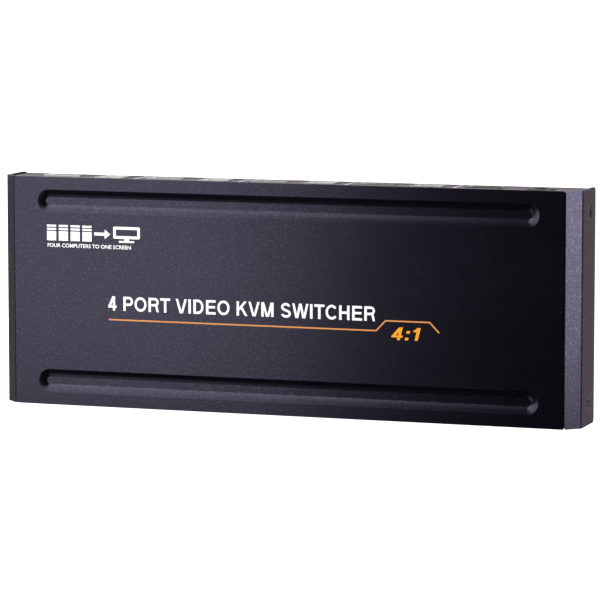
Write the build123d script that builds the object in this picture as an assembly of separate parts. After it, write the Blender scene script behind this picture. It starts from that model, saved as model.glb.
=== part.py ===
from build123d import *
import os

# A four-way desk switch in a bent sheet-steel case. Sizes are in millimetres. X runs along
# the case, +Y points at the rear panel with the video and host sockets, +Z is up, and
# z = 0 is the surface that the feet stand on, under the middle of the case.

# ---- case ----
CASE_LENGTH = 235.0
CASE_DEPTH = 90.0
CASE_HEIGHT = 23.5  # underside of the base tray to the top plate
CHAMFER_LEG = 5.5  # 45 degree bends along both ends of the cover
SHEET = 1.0
BEND_RADIUS = 1.5  # outside radius of every bend
PANEL_RECESS = 0.5  # the panels lie this far inside the cover's edges
SHELL_GAP = 0.4  # between the tray's edges and the cover above them
FLANGE_CORNER = 1.5
RELIEF_RADIUS = 0.45  # bend relief notches in the cover's edges

# ---- stamped grooves in the top plate ----
GROOVE_LENGTH = 204.0
GROOVE_WIDTH = 9.0
GROOVE_FLOOR = 3.0
GROOVE_DEPTH = 1.2
GROOVE_CROWN = 0.17  # how far the groove's walls bulge upwards
GROOVE_FROM_EDGE = 9.5
GROOVE_BACK_SPREAD = 0.35  # how much wider the groove is under the sheet, each side

# ---- cover screws, M3 countersunk ----
SHANK_RADIUS = 1.45
THREAD_GAP = 0.02
HOLE_GAP = 0.15
SCREW_LENGTH = 6.0
SUNK_HEAD_RADIUS = 2.75
SUNK_HEAD_HEIGHT = 1.3
SUNK_GAP = 0.05
DIMPLE_DEPTH = 0.9
DIMPLE_RIM = 1.0
SCREW_FROM_EDGE = 9.0
SCREW_HEIGHT = 7.5  # above the underside of the tray
EAR_WIDTH = 12.0
EAR_HEIGHT = 13.0
EAR_CORNER = 3.0
COLLAR_RADIUS = 2.5
COLLAR_LENGTH = 1.6
RECESS_WIDTH = 3.0
RECESS_SLOT = 0.7
RECESS_DEPTH = 0.8

# ---- feet ----
FOOT_HEIGHT = 2.5
FOOT_RADIUS = 6.0
FOOT_TAPER = 0.6
FOOT_FROM_END = 18.0
FOOT_FROM_EDGE = 14.0

# ---- board and what carries it ----
BOARD_THICKNESS = 1.6
BOARD_END_GAP = 4.6  # board edge to the tray's ears
BOARD_PANEL_GAP = 0.8
BOARD_CORNER = 1.5
STANDOFF_HEIGHT = 4.5
STANDOFF_RADIUS = 2.9
SPIGOT_RADIUS = 2.1
STANDOFF_FROM_BOARD_END = 5.0
STANDOFF_FROM_EDGE = 21.0
PAN_HEAD_RADIUS = 2.75
PAN_HEAD_HEIGHT = 1.9
PAN_HEAD_ROUND = 0.6
BOARD_SCREW_BITE = 3.4

# ---- socket rows ----
SOCKET_PROUD = 0.4  # socket mouths stand this far out of their panel
WINDOW_GAP = 0.35
INSERT_GAP = 0.05
LEG_GAP = 0.3
LEG_TAIL = 1.0  # leg below the board
REAR_FIRST = 21.3  # left end of the case to the first video socket
REAR_LAST = 40.5  # right end of the case to the last video socket
JACK_FROM_END = 17.8
VIDEO_COUNT = 5
HOST_COUNT = 4
DEVICE_COUNT = 4

# ---- video sockets ----
VIDEO_MOUTH_WIDTH = 14.0
VIDEO_MOUTH_HEIGHT = 4.55
VIDEO_CUT_X = 1.5
VIDEO_CUT_Z = 1.9
VIDEO_WALL = 0.35
VIDEO_RIM = 0.25
VIDEO_RIM_THICKNESS = 0.4
VIDEO_DEPTH = 11.5
VIDEO_BACK = 3.0
VIDEO_TONGUE = (11.8, 1.7)
VIDEO_TONGUE_BACK = 1.0  # tongue tip behind the mouth
VIDEO_CONTACTS_UPPER = 10
VIDEO_CONTACTS_LOWER = 9
VIDEO_CONTACT_PITCH = 1.0
VIDEO_CONTACT = (0.45, 6.6, 0.12)
VIDEO_LEGS = (-3.2, -8.4)
VIDEO_LEG_WIDTH = 1.2

# ---- host sockets, square ----
HOST_WIDTH = 12.04
HOST_HEIGHT = 10.9
HOST_DEPTH = 16.0
HOST_WALL = 0.3
HOST_FACE_BACK = 0.25
HOST_MOUTH_WIDTH = 8.45
HOST_MOUTH_HEIGHT = 7.78
HOST_MOUTH_CUT = 1.6
HOST_MOUTH_DEPTH = 8.9
HOST_TONGUE = (5.6, 3.2)
HOST_TONGUE_BACK = 1.2
HOST_CONTACT = (1.0, 6.4, 0.2)
HOST_CONTACT_PITCH = 2.5
HOST_LEGS = (-4.7,)
HOST_LEG_WIDTH = 2.2
HOST_LEG_START = 2.7  # where a leg leaves the shell's side, above the board

# ---- device sockets, flat ----
DEVICE_WIDTH = 13.2
DEVICE_HEIGHT = 5.8
DEVICE_DEPTH = 14.0
DEVICE_WALL = 0.35
DEVICE_BACK = 4.5
DEVICE_TONGUE = (11.1, 1.84)
DEVICE_TONGUE_BACK = 0.9
DEVICE_TONGUE_DROP = 0.75  # between the shell's roof and the tongue
DEVICE_CONTACT = (1.0, 7.4, 0.2)
DEVICE_CONTACTS = (-3.5, -1.0, 1.0, 3.5)
DEVICE_LEGS = (-3.4, -9.0)
DEVICE_LEG_WIDTH = 1.6

# ---- power jack ----
JACK_NOSE_RADIUS = 5.3
JACK_NOSE_LENGTH = 3.0
JACK_WIDTH = 10.4
JACK_HEIGHT = 10.7
JACK_DEPTH = 14.0
JACK_BORE_RADIUS = 3.15
JACK_BORE_DEPTH = 9.5
JACK_PIN_RADIUS = 1.05
JACK_PIN_TIP = 0.5  # rounding of the pin's tip
JACK_PIN_BACK = 0.8
JACK_PIN_ROOT_RADIUS = 1.5
JACK_PIN_GAP = 0.01
JACK_MOUTH_CHAMFER = 0.5

# ---- front row ----
FRONT_MARGIN = 13.5  # each end of the case to the end of the row
FRONT_MODULES = 26  # the row is spaced out in this many equal steps
POWER_LED_AT = 0.0
IR_AT = 2.0
BUTTON_AT = (4.0, 6.25, 8.5, 10.75)
LED_AFTER_BUTTON = 1.125
DEVICE_AT = 14.75
DEVICE_STEP = 3.0
FRONT_ROW_HEIGHT = 3.7  # buttons, lamps and window above the board

# ---- select buttons and their switches ----
BUTTON_WIDTH = 8.0
BUTTON_HEIGHT = 4.0
BUTTON_CORNER = 1.9
BUTTON_PROUD = 0.5
BUTTON_GAP = 0.15
BUTTON_COLLAR_RIM = 1.0
BUTTON_COLLAR_THICKNESS = 0.8
BUTTON_COLLAR_GAP = 0.1
BUTTON_EDGE = 0.3
BUTTON_DISH = 0.15
BUTTON_TRAVEL = 0.5
PLUNGER_RADIUS = 1.6
PLUNGER_GAP = 0.1
PLUNGER_LENGTH = 2.2
SWITCH_SIZE = (6.0, 4.0, 6.4)
SWITCH_BEHIND_COLLAR = 1.2
SWITCH_SPARE = 0.3  # behind the plunger when it is pressed

# ---- lamps and remote window ----
LED_RADIUS = 1.45
LED_PROUD = 0.4
LED_LENGTH = 6.0
LED_GAP = 0.1
LED_BRIM = 0.4
LED_BRIM_LENGTH = 1.0
LED_DOME = 1.2  # rounding of a lamp's tip
HOLDER_WIDTH = 4.4
HOLDER_DEPTH = 4.5
HOLDER_ABOVE = 2.2
HOLDER_PANEL_GAP = 0.4
IR_RADIUS = 3.0
IR_PROUD = 0.2
IR_GAP = 0.05
IR_EDGE = 0.18
IR_BRIM = 1.0
IR_BRIM_THICKNESS = 0.8
IR_BODY = (6.2, 4.0, 6.8)
IR_BODY_BACK = 1.9  # receiver body behind the window's brim
IR_DOME_RADIUS = 1.7

# ---- parts on the board: length, width, height, then places ----
CHIP_SIZE = (24.0, 24.0, 1.6)
CHIP_PLACE = (20.0, -2.0)
PAD_THICKNESS = 0.5
PAD_SIZE = 20.0
SINK_SIZE = (23.0, 23.0)
SINK_PLATE = 2.0
SINK_FIN_HEIGHT = 6.0
SINK_FIN_THICKNESS = 1.0
SINK_FINS = 7
SMALL_CHIP_SIZE = (7.0, 5.5, 1.2)
SMALL_CHIP_PLACES = ((-66.0, 10.0), (-45.0, 10.0), (-22.0, 10.0), (-8.0, -6.0), (44.0, 10.0), (-45.0, -8.0))
CAPACITOR_RADIUS = 3.15
CAPACITOR_HEIGHT = 7.7
CAPACITOR_EDGE = 0.5
CAPACITOR_PLACES = ((62.0, 9.0), (72.0, 9.0), (72.0, -2.0), (-66.0, -8.0))
COIL_SIZE = (6.8, 6.8, 3.2)
COIL_CORNER = 1.2
COIL_PLACES = ((60.0, -3.0), (60.0, -13.0))
CRYSTAL_SIZE = (11.0, 4.6, 3.4)
CRYSTAL_PLACE = (40.0, -14.0)

# ---- places worked out from the sizes above ----
BOTTOM = FOOT_HEIGHT
FLOOR = BOTTOM + SHEET
TOP = BOTTOM + CASE_HEIGHT
CEILING = TOP - SHEET
HALF_LENGTH = CASE_LENGTH / 2
HALF_DEPTH = CASE_DEPTH / 2
PANEL_OUT = HALF_DEPTH - PANEL_RECESS
PANEL_IN = PANEL_OUT - SHEET
EAR_OUT = HALF_LENGTH - SHEET - DIMPLE_DEPTH
EAR_IN = EAR_OUT - SHEET
SCREW_Y = HALF_DEPTH - SCREW_FROM_EDGE
SCREW_Z = BOTTOM + SCREW_HEIGHT
GROOVE_Y = HALF_DEPTH - GROOVE_FROM_EDGE
BOARD_BOTTOM = FLOOR + STANDOFF_HEIGHT
BOARD_TOP = BOARD_BOTTOM + BOARD_THICKNESS
BOARD_HALF_LENGTH = EAR_IN - BOARD_END_GAP
BOARD_HALF_DEPTH = PANEL_IN - BOARD_PANEL_GAP
STANDOFF_X = BOARD_HALF_LENGTH - STANDOFF_FROM_BOARD_END
STANDOFF_Y = HALF_DEPTH - STANDOFF_FROM_EDGE
STANDOFF_PLACES = [(x, y) for x in (-STANDOFF_X, 0.0, STANDOFF_X) for y in (-STANDOFF_Y, STANDOFF_Y)]
FACE_Y = PANEL_OUT + SOCKET_PROUD
ROW_Z = BOARD_TOP + FRONT_ROW_HEIGHT
REAR_STEP = (CASE_LENGTH - REAR_FIRST - REAR_LAST) / (VIDEO_COUNT + HOST_COUNT - 1)
VIDEO_X = [-HALF_LENGTH + REAR_FIRST + 2 * i * REAR_STEP for i in range(VIDEO_COUNT)]
HOST_X = [-HALF_LENGTH + REAR_FIRST + (2 * i + 1) * REAR_STEP for i in range(HOST_COUNT)]
JACK_X = HALF_LENGTH - JACK_FROM_END
MODULE = (CASE_LENGTH - 2 * FRONT_MARGIN) / FRONT_MODULES
FRONT_LEFT = -HALF_LENGTH + FRONT_MARGIN
BUTTON_X = [FRONT_LEFT + at * MODULE for at in BUTTON_AT]
PORT_LED_X = [x + LED_AFTER_BUTTON * MODULE for x in BUTTON_X]
POWER_LED_X = FRONT_LEFT + POWER_LED_AT * MODULE
IR_X = FRONT_LEFT + IR_AT * MODULE
DEVICE_X = [FRONT_LEFT + (DEVICE_AT + i * DEVICE_STEP) * MODULE for i in range(DEVICE_COUNT)]
LEG_LENGTH = BOARD_THICKNESS + LEG_TAIL
BUTTON_FACE_Y = -PANEL_OUT - BUTTON_PROUD
COLLAR_FRONT_Y = -PANEL_IN + BUTTON_COLLAR_GAP
COLLAR_BACK_Y = COLLAR_FRONT_Y + BUTTON_COLLAR_THICKNESS
SWITCH_FRONT_Y = COLLAR_BACK_Y + SWITCH_BEHIND_COLLAR
OVERCUT = 1.0  # how far a cutting tool runs past the face that it cuts

MIDDLE_AND_UP = (Align.CENTER, Align.CENTER, Align.MIN)


# ---- helpers ----
def block(x0, x1, y0, y1, z0, z1):
    """A box between two values along each axis."""
    return Pos((x0 + x1) / 2, (y0 + y1) / 2, (z0 + z1) / 2) * Box(x1 - x0, y1 - y0, z1 - z0)


def standing(width, depth, height, x, y, z):
    """A box of this size that stands on z with its middle over x and y."""
    return Pos(x, y, z) * Box(width, depth, height, align=MIDDLE_AND_UP)


def post(radius, height, x, y, z):
    """An upright cylinder that starts at z."""
    return Pos(x, y, z) * Cylinder(radius, height, align=MIDDLE_AND_UP)


def pin_to_rear(radius, length, x, y, z):
    """A cylinder that starts at y and runs towards +Y."""
    return Pos(x, y, z) * Rot(-90, 0, 0) * Cylinder(radius, length, align=MIDDLE_AND_UP)


def outline(points):
    """A flat face in the XZ plane from corners given as x and z."""
    return Plane.XZ * make_face(Polyline(*points, close=True))


def run_back(face, start, length):
    """The face pushed towards -Y, from start behind its own plane, for length."""
    return Pos(0, -start, 0) * extrude(face, amount=length, dir=(0, -1, 0))


def rectangle_face(width, z0, z1):
    """A rectangle in the XZ plane, middled on x = 0."""
    return outline([(-width / 2, z0), (width / 2, z0), (width / 2, z1), (-width / 2, z1)])


def grown(face, amount):
    """The face with every side moved outwards, its corners kept sharp."""
    return offset(face, amount, kind=Kind.INTERSECTION)


def both_ends(shape):
    """The shape and its mirror image at the other end of the case."""
    return [shape, mirror(shape, about=Plane.YZ)]


def save(node, *shapes):
    """Write one node, with every solid of the shapes given as a separate solid."""
    solids = [solid for shape in shapes for solid in shape.solids()]
    export_step(solids[0] if len(solids) == 1 else Compound(solids), f"parts/{node}.step")


# ---- cover ----
def bent_strip(inset, low):
    """Section of the cover's strip as seen from the front, inset by a sheet for its inside."""
    side = HALF_LENGTH - inset
    leg = CHAMFER_LEG - inset * (2 - 2**0.5)
    roof = TOP - inset
    points = [(-side, low), (-side, roof - leg), (-side + leg, roof)]
    points += [(-x, z) for x, z in reversed(points)]
    face = make_face(Polyline(*points, close=True))
    bends = [corner for corner in face.vertices() if corner.Y > low + SHEET]
    return Plane.XZ * fillet(bends, BEND_RADIUS - inset)


def groove_body(half_floor, half_width, bottom, shoulder, crown, top):
    """A long round-ended body whose section is a groove's: used to cut and to back it."""
    rise = shoulder - bottom
    run = half_width - half_floor
    wall = (run**2 + rise**2) ** 0.5
    middle = (half_floor + run / 2 - crown * rise / wall, bottom + rise / 2 + crown * run / wall)
    side = ThreePointArc((half_floor, bottom), middle, (half_width, shoulder))
    edges = [Line((0, bottom), (half_floor, bottom)), side, Line((half_width, shoulder), (half_width, top))]
    edges += [Line((half_width, top), (0, top)), Line((0, top), (0, bottom))]
    half = Plane.XZ * make_face(Curve() + edges)
    reach = GROOVE_LENGTH / 2 - GROOVE_WIDTH / 2
    ends = revolve(half, Axis.Z, 360)
    bar = extrude(Plane.YZ * Plane.XZ.to_local_coords(half), amount=reach, both=True)
    bar += mirror(bar, about=Plane.XZ)
    return bar + Pos(reach, 0, 0) * ends + Pos(-reach, 0, 0) * ends


def top_cover():
    """Top plate, chamfers and end flanges bent from one sheet."""
    outside = extrude(bent_strip(0, BOTTOM), amount=HALF_DEPTH, both=True)
    inside = extrude(bent_strip(SHEET, BOTTOM - OVERCUT), amount=HALF_DEPTH + OVERCUT, both=True)
    cover = outside - inside
    cover = fillet(cover.edges().filter_by(Axis.X).group_by(Axis.Z)[0], FLANGE_CORNER)
    half_floor = GROOVE_FLOOR / 2
    half_width = GROOVE_WIDTH / 2
    for y in (-GROOVE_Y, GROOVE_Y):
        backing = groove_body(
            half_floor + GROOVE_BACK_SPREAD, half_width + GROOVE_BACK_SPREAD, -GROOVE_DEPTH - SHEET, -SHEET,
            GROOVE_CROWN, -SHEET / 2
        )
        hollow = groove_body(half_floor, half_width, -GROOVE_DEPTH, 0, GROOVE_CROWN, OVERCUT)
        cover = cover + Pos(0, y, TOP) * backing - Pos(0, y, TOP) * hollow
    seat = SUNK_HEAD_RADIUS + SUNK_GAP
    hole = SHANK_RADIUS + HOLE_GAP
    narrowing = seat - hole
    dimple = Pos(HALF_LENGTH - SHEET, 0, 0) * Rot(0, -90, 0) * Cone(
        seat + DIMPLE_RIM, seat + DIMPLE_RIM - DIMPLE_DEPTH, DIMPLE_DEPTH, align=MIDDLE_AND_UP
    )
    sink = Pos(HALF_LENGTH, 0, 0) * Rot(0, -90, 0) * Cone(seat, hole, narrowing, align=MIDDLE_AND_UP)
    bore = Pos(HALF_LENGTH, 0, 0) * Rot(0, -90, 0) * Cylinder(hole, SHEET + DIMPLE_DEPTH, align=MIDDLE_AND_UP)
    for y in (-SCREW_Y, SCREW_Y):
        place = Pos(0, y, SCREW_Z)
        for raised, cut in zip(both_ends(place * dimple), both_ends(place * (sink + bore))):
            cover = cover + raised - cut
    for x in (-HALF_LENGTH + CHAMFER_LEG, HALF_LENGTH - CHAMFER_LEG):
        for y in (-HALF_DEPTH, HALF_DEPTH):
            cover -= post(RELIEF_RADIUS, 2 * SHEET, x, y, CEILING - SHEET / 2)
    return cover


# ---- base tray ----
def tray_section():
    """Section of the tray across the case: floor and both panels with round bends."""
    rim = CEILING - SHELL_GAP
    outer = make_face(Polyline((-PANEL_OUT, BOTTOM), (PANEL_OUT, BOTTOM), (PANEL_OUT, rim), (-PANEL_OUT, rim),
                               close=True))
    outer = fillet([corner for corner in outer.vertices() if corner.Y < FLOOR], BEND_RADIUS)
    high = rim + OVERCUT
    inner = make_face(Polyline((-PANEL_IN, FLOOR), (PANEL_IN, FLOOR), (PANEL_IN, high), (-PANEL_IN, high),
                               close=True))
    inner = fillet([corner for corner in inner.vertices() if corner.Y < FLOOR + SHEET], BEND_RADIUS - SHEET)
    return Plane.YZ * (outer - inner)


def ears():
    """Ears bent up at the tray's ends, with threaded collars for the cover screws."""
    made = []
    for y in (-SCREW_Y, SCREW_Y):
        tall = BOTTOM + EAR_HEIGHT
        ear = block(EAR_IN, EAR_OUT, y - EAR_WIDTH / 2, y + EAR_WIDTH / 2, BOTTOM, tall)
        ear = fillet(ear.edges().filter_by(Axis.X).group_by(Axis.Z)[-1], EAR_CORNER)
        collar = Pos(EAR_OUT, y, SCREW_Z) * Rot(0, -90, 0) * Cylinder(
            COLLAR_RADIUS, SHEET + COLLAR_LENGTH, align=MIDDLE_AND_UP
        )
        thread = Pos(EAR_OUT + OVERCUT, y, SCREW_Z) * Rot(0, -90, 0) * Cylinder(
            SHANK_RADIUS + THREAD_GAP, SHEET + COLLAR_LENGTH + 2 * OVERCUT, align=MIDDLE_AND_UP
        )
        made += both_ends(ear + collar - thread)
    return made


def base_tray():
    """Floor, front panel and rear panel bent from one sheet, with every window in them."""
    tray = extrude(tray_section(), amount=EAR_OUT, both=True)
    slack = (SHEET + SHELL_GAP) * 2**0.5
    shoulder = HALF_LENGTH + TOP - CHAMFER_LEG - slack
    allowed = outline([(-EAR_OUT, 0), (EAR_OUT, 0), (EAR_OUT, shoulder - EAR_OUT), (shoulder - TOP, TOP),
                       (TOP - shoulder, TOP), (-EAR_OUT, shoulder - EAR_OUT)])
    tray = tray & extrude(allowed, amount=HALF_DEPTH, both=True)
    for ear in ears():
        tray += ear
    for x in VIDEO_X:
        tray -= rear_window(grown(video_mouth(), VIDEO_WALL + VIDEO_RIM + WINDOW_GAP), x)
    for x in HOST_X:
        tray -= rear_window(grown(rectangle_face(HOST_WIDTH, 0, HOST_HEIGHT), WINDOW_GAP), x)
    tray -= pin_to_rear(JACK_NOSE_RADIUS + WINDOW_GAP, SHEET + 2 * OVERCUT, JACK_X, PANEL_IN - OVERCUT,
                        BOARD_TOP + JACK_HEIGHT / 2)
    for x in DEVICE_X:
        tray -= front_window(grown(rectangle_face(DEVICE_WIDTH, 0, DEVICE_HEIGHT), WINDOW_GAP), x)
    slot = RectangleRounded(BUTTON_WIDTH + 2 * BUTTON_GAP, BUTTON_HEIGHT + 2 * BUTTON_GAP,
                            BUTTON_CORNER + BUTTON_GAP)
    for x in BUTTON_X:
        tray -= Pos(0, 0, FRONT_ROW_HEIGHT) * front_window(Plane.XZ * slot, x)
    for x in [POWER_LED_X] + PORT_LED_X:
        tray -= front_hole(LED_RADIUS + LED_GAP, x)
    tray -= front_hole(IR_RADIUS + IR_GAP, IR_X)
    for x, y in STANDOFF_PLACES:
        tray -= post(SPIGOT_RADIUS + THREAD_GAP, SHEET + 2 * OVERCUT, x, y, BOTTOM - OVERCUT)
    return tray


def rear_window(face, x):
    """Cutting tool for a window in the rear panel, the face's z = 0 on the board's top."""
    return Pos(x, PANEL_OUT + OVERCUT, BOARD_TOP) * run_back(face, 0, SHEET + 2 * OVERCUT)


def front_window(face, x):
    """Cutting tool for a window in the front panel, the face's z = 0 on the board's top."""
    return Pos(x, -PANEL_IN + OVERCUT, BOARD_TOP) * run_back(face, 0, SHEET + 2 * OVERCUT)


def front_hole(radius, x):
    """Cutting tool for a round hole in the front panel at the height of the button row."""
    return pin_to_rear(radius, SHEET + 2 * OVERCUT, x, -PANEL_OUT - OVERCUT, ROW_Z)


# ---- fasteners and feet ----
def cross_recess():
    """Cross recess, its mouth at z = 0."""
    return (Pos(0, 0, -RECESS_DEPTH / 2) * Box(RECESS_WIDTH, RECESS_SLOT, RECESS_DEPTH)
            + Pos(0, 0, -RECESS_DEPTH / 2) * Box(RECESS_SLOT, RECESS_WIDTH, RECESS_DEPTH))


def cover_screws():
    """Countersunk screws through the end flanges into the tray's ears."""
    head = Pos(0, 0, -SUNK_HEAD_HEIGHT) * Cone(SHANK_RADIUS, SUNK_HEAD_RADIUS, SUNK_HEAD_HEIGHT,
                                               align=MIDDLE_AND_UP)
    shank = post(SHANK_RADIUS, SCREW_LENGTH, 0, 0, -SCREW_LENGTH)
    screw = head + shank - cross_recess()
    made = []
    for y in (-SCREW_Y, SCREW_Y):
        made += both_ends(Pos(HALF_LENGTH, y, SCREW_Z) * Rot(0, 90, 0) * screw)
    return made


def board_screws():
    """Pan-head screws that hold the board on its standoffs."""
    head = post(PAN_HEAD_RADIUS, PAN_HEAD_HEIGHT, 0, 0, 0)
    head = fillet(head.edges().group_by(Axis.Z)[-1], PAN_HEAD_ROUND)
    head -= Pos(0, 0, PAN_HEAD_HEIGHT) * cross_recess()
    length = BOARD_THICKNESS + BOARD_SCREW_BITE
    screw = head + post(SHANK_RADIUS, length, 0, 0, -length)
    return [Pos(x, y, BOARD_TOP) * screw for x, y in STANDOFF_PLACES]


def standoffs():
    """Threaded standoffs pressed into the tray's floor, flush with its underside."""
    made = []
    for x, y in STANDOFF_PLACES:
        body = post(STANDOFF_RADIUS, STANDOFF_HEIGHT, x, y, FLOOR) + post(SPIGOT_RADIUS, SHEET, x, y, BOTTOM)
        depth = SHEET + STANDOFF_HEIGHT + 2 * OVERCUT
        thread = post(SHANK_RADIUS + THREAD_GAP, depth, x, y, BOTTOM - OVERCUT)
        made.append(body - thread)
    return made


def rubber_feet():
    """Round feet stuck under the tray."""
    foot = Cone(FOOT_RADIUS - FOOT_TAPER, FOOT_RADIUS, FOOT_HEIGHT, align=MIDDLE_AND_UP)
    foot = fillet(foot.edges().group_by(Axis.Z)[0], FOOT_TAPER)
    x = HALF_LENGTH - FOOT_FROM_END
    y = HALF_DEPTH - FOOT_FROM_EDGE
    return [Pos(sx * x, sy * y, 0) * foot for sx in (-1, 1) for sy in (-1, 1)]


# ---- board ----
def leg_slots():
    """Cutting tools for the slots that take the sockets' legs."""
    kinds = [(VIDEO_X, 1, VIDEO_MOUTH_WIDTH / 2 + VIDEO_WALL, VIDEO_WALL, VIDEO_LEGS, VIDEO_LEG_WIDTH),
             (HOST_X, 1, HOST_WIDTH / 2, HOST_WALL, HOST_LEGS, HOST_LEG_WIDTH),
             (DEVICE_X, -1, DEVICE_WIDTH / 2, DEVICE_WALL, DEVICE_LEGS, DEVICE_LEG_WIDTH)]
    tools = []
    for row, side, half, wall, legs, width in kinds:
        for x in row:
            for leg in legs:
                for end in (-1, 1):
                    tools.append(standing(wall + 2 * LEG_GAP, width + 2 * LEG_GAP, BOARD_THICKNESS,
                                          x + end * (half - wall / 2), side * (FACE_Y + leg), BOARD_BOTTOM))
    return tools


def main_board():
    """The circuit board, with its screw holes and leg slots."""
    plate = RectangleRounded(2 * BOARD_HALF_LENGTH, 2 * BOARD_HALF_DEPTH, BOARD_CORNER)
    board = Pos(0, 0, BOARD_BOTTOM) * extrude(plate, amount=BOARD_THICKNESS)
    for x, y in STANDOFF_PLACES:
        board -= post(SHANK_RADIUS + HOLE_GAP, BOARD_THICKNESS, x, y, BOARD_BOTTOM)
    for tool in leg_slots():
        board -= tool
    return board


# ---- sockets: mouth at y = 0 facing +Y, board's top at z = 0 ----
def legs(half, wall, places, width, start):
    """Legs down both sides of a shell, from start above the board to below it."""
    made = []
    for y in places:
        for end in (-1, 1):
            x = end * (half - wall / 2)
            made.append(block(x - wall / 2, x + wall / 2, y - width / 2, y + width / 2, -LEG_LENGTH, start))
    return made


def video_mouth():
    """Opening of a video socket, its lower corners cut."""
    half = VIDEO_MOUTH_WIDTH / 2
    low = VIDEO_WALL
    high = low + VIDEO_MOUTH_HEIGHT
    return outline([(-half + VIDEO_CUT_X, low), (half - VIDEO_CUT_X, low), (half, low + VIDEO_CUT_Z),
                    (half, high), (-half, high), (-half, low + VIDEO_CUT_Z)])


def video_shell():
    """Folded steel shell of a video socket with a flared rim and four legs."""
    mouth = video_mouth()
    shell = run_back(grown(mouth, VIDEO_WALL), 0, VIDEO_DEPTH)
    shell += run_back(grown(mouth, VIDEO_WALL + VIDEO_RIM), 0, VIDEO_RIM_THICKNESS)
    shell -= run_back(mouth, 0, VIDEO_DEPTH)
    start = VIDEO_WALL + VIDEO_MOUTH_HEIGHT / 2 + VIDEO_CUT_Z / 2
    for leg in legs(VIDEO_MOUTH_WIDTH / 2 + VIDEO_WALL, VIDEO_WALL, VIDEO_LEGS, VIDEO_LEG_WIDTH, start):
        shell += leg
    return shell


def video_middle():
    """Height of a video socket's tongue above the board."""
    return VIDEO_WALL + VIDEO_MOUTH_HEIGHT / 2


def video_insert():
    """Moulded insert of a video socket: a back block with a flat tongue."""
    width, height = VIDEO_TONGUE
    block_face = grown(video_mouth(), -INSERT_GAP)
    insert = run_back(block_face, VIDEO_DEPTH - VIDEO_BACK, VIDEO_BACK)
    middle = video_middle()
    return insert + block(-width / 2, width / 2, -VIDEO_DEPTH + VIDEO_BACK, -VIDEO_TONGUE_BACK,
                          middle - height / 2, middle + height / 2)


def video_contacts():
    """Contacts in two rows, above and below the tongue of a video socket."""
    width, length, height = VIDEO_CONTACT
    half_tongue = VIDEO_TONGUE[1] / 2
    back = -VIDEO_DEPTH + VIDEO_BACK
    made = []
    for count, z in ((VIDEO_CONTACTS_UPPER, half_tongue), (VIDEO_CONTACTS_LOWER, -half_tongue - height)):
        for i in range(count):
            x = (i - (count - 1) / 2) * VIDEO_CONTACT_PITCH
            z0 = video_middle() + z
            made.append(block(x - width / 2, x + width / 2, back, back + length, z0, z0 + height))
    return made


def host_shell():
    """Square steel shell of a host socket."""
    shell = run_back(rectangle_face(HOST_WIDTH, 0, HOST_HEIGHT), 0, HOST_DEPTH)
    shell = fillet(shell.edges().filter_by(Axis.Y), 2 * HOST_WALL)
    inner = run_back(grown(rectangle_face(HOST_WIDTH, 0, HOST_HEIGHT), -HOST_WALL), 0, HOST_DEPTH)
    shell -= fillet(inner.edges().filter_by(Axis.Y), HOST_WALL)
    for leg in legs(HOST_WIDTH / 2, HOST_WALL, HOST_LEGS, HOST_LEG_WIDTH, HOST_LEG_START):
        shell += leg
    return shell


def host_insert():
    """Moulded insert of a host socket: a block with a square mouth and a thick tongue."""
    inset = HOST_WALL + INSERT_GAP
    body = run_back(grown(rectangle_face(HOST_WIDTH, 0, HOST_HEIGHT), -inset), HOST_FACE_BACK,
                    HOST_DEPTH - HOST_FACE_BACK)
    body = fillet(body.edges().filter_by(Axis.Y), HOST_WALL)
    half = HOST_MOUTH_WIDTH / 2
    low = (HOST_HEIGHT - HOST_MOUTH_HEIGHT) / 2
    high = low + HOST_MOUTH_HEIGHT
    mouth = outline([(-half, low), (half, low), (half, high - HOST_MOUTH_CUT), (half - HOST_MOUTH_CUT, high),
                     (-half + HOST_MOUTH_CUT, high), (-half, high - HOST_MOUTH_CUT)])
    body -= run_back(mouth, 0, HOST_MOUTH_DEPTH)
    width, height = HOST_TONGUE
    middle = HOST_HEIGHT / 2
    return body + block(-width / 2, width / 2, -HOST_MOUTH_DEPTH, -HOST_TONGUE_BACK,
                        middle - height / 2, middle + height / 2)


def host_contacts():
    """Two contacts above and two below the tongue of a host socket."""
    width, length, height = HOST_CONTACT
    half_tongue = HOST_TONGUE[1] / 2
    made = []
    for z in (HOST_HEIGHT / 2 + half_tongue, HOST_HEIGHT / 2 - half_tongue - height):
        for x in (-HOST_CONTACT_PITCH / 2, HOST_CONTACT_PITCH / 2):
            made.append(block(x - width / 2, x + width / 2, -HOST_MOUTH_DEPTH, -HOST_MOUTH_DEPTH + length,
                              z, z + height))
    return made


def device_shell():
    """Flat steel shell of a device socket."""
    shell = run_back(rectangle_face(DEVICE_WIDTH, 0, DEVICE_HEIGHT), 0, DEVICE_DEPTH)
    shell = fillet(shell.edges().filter_by(Axis.Y), 2 * DEVICE_WALL)
    inner = run_back(grown(rectangle_face(DEVICE_WIDTH, 0, DEVICE_HEIGHT), -DEVICE_WALL), 0, DEVICE_DEPTH)
    shell -= fillet(inner.edges().filter_by(Axis.Y), DEVICE_WALL)
    for leg in legs(DEVICE_WIDTH / 2, DEVICE_WALL, DEVICE_LEGS, DEVICE_LEG_WIDTH, DEVICE_HEIGHT / 2):
        shell += leg
    return shell


def device_tongue_low():
    """Height of the underside of a device socket's tongue above the board."""
    return DEVICE_HEIGHT - DEVICE_WALL - DEVICE_TONGUE_DROP - DEVICE_TONGUE[1]


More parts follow.
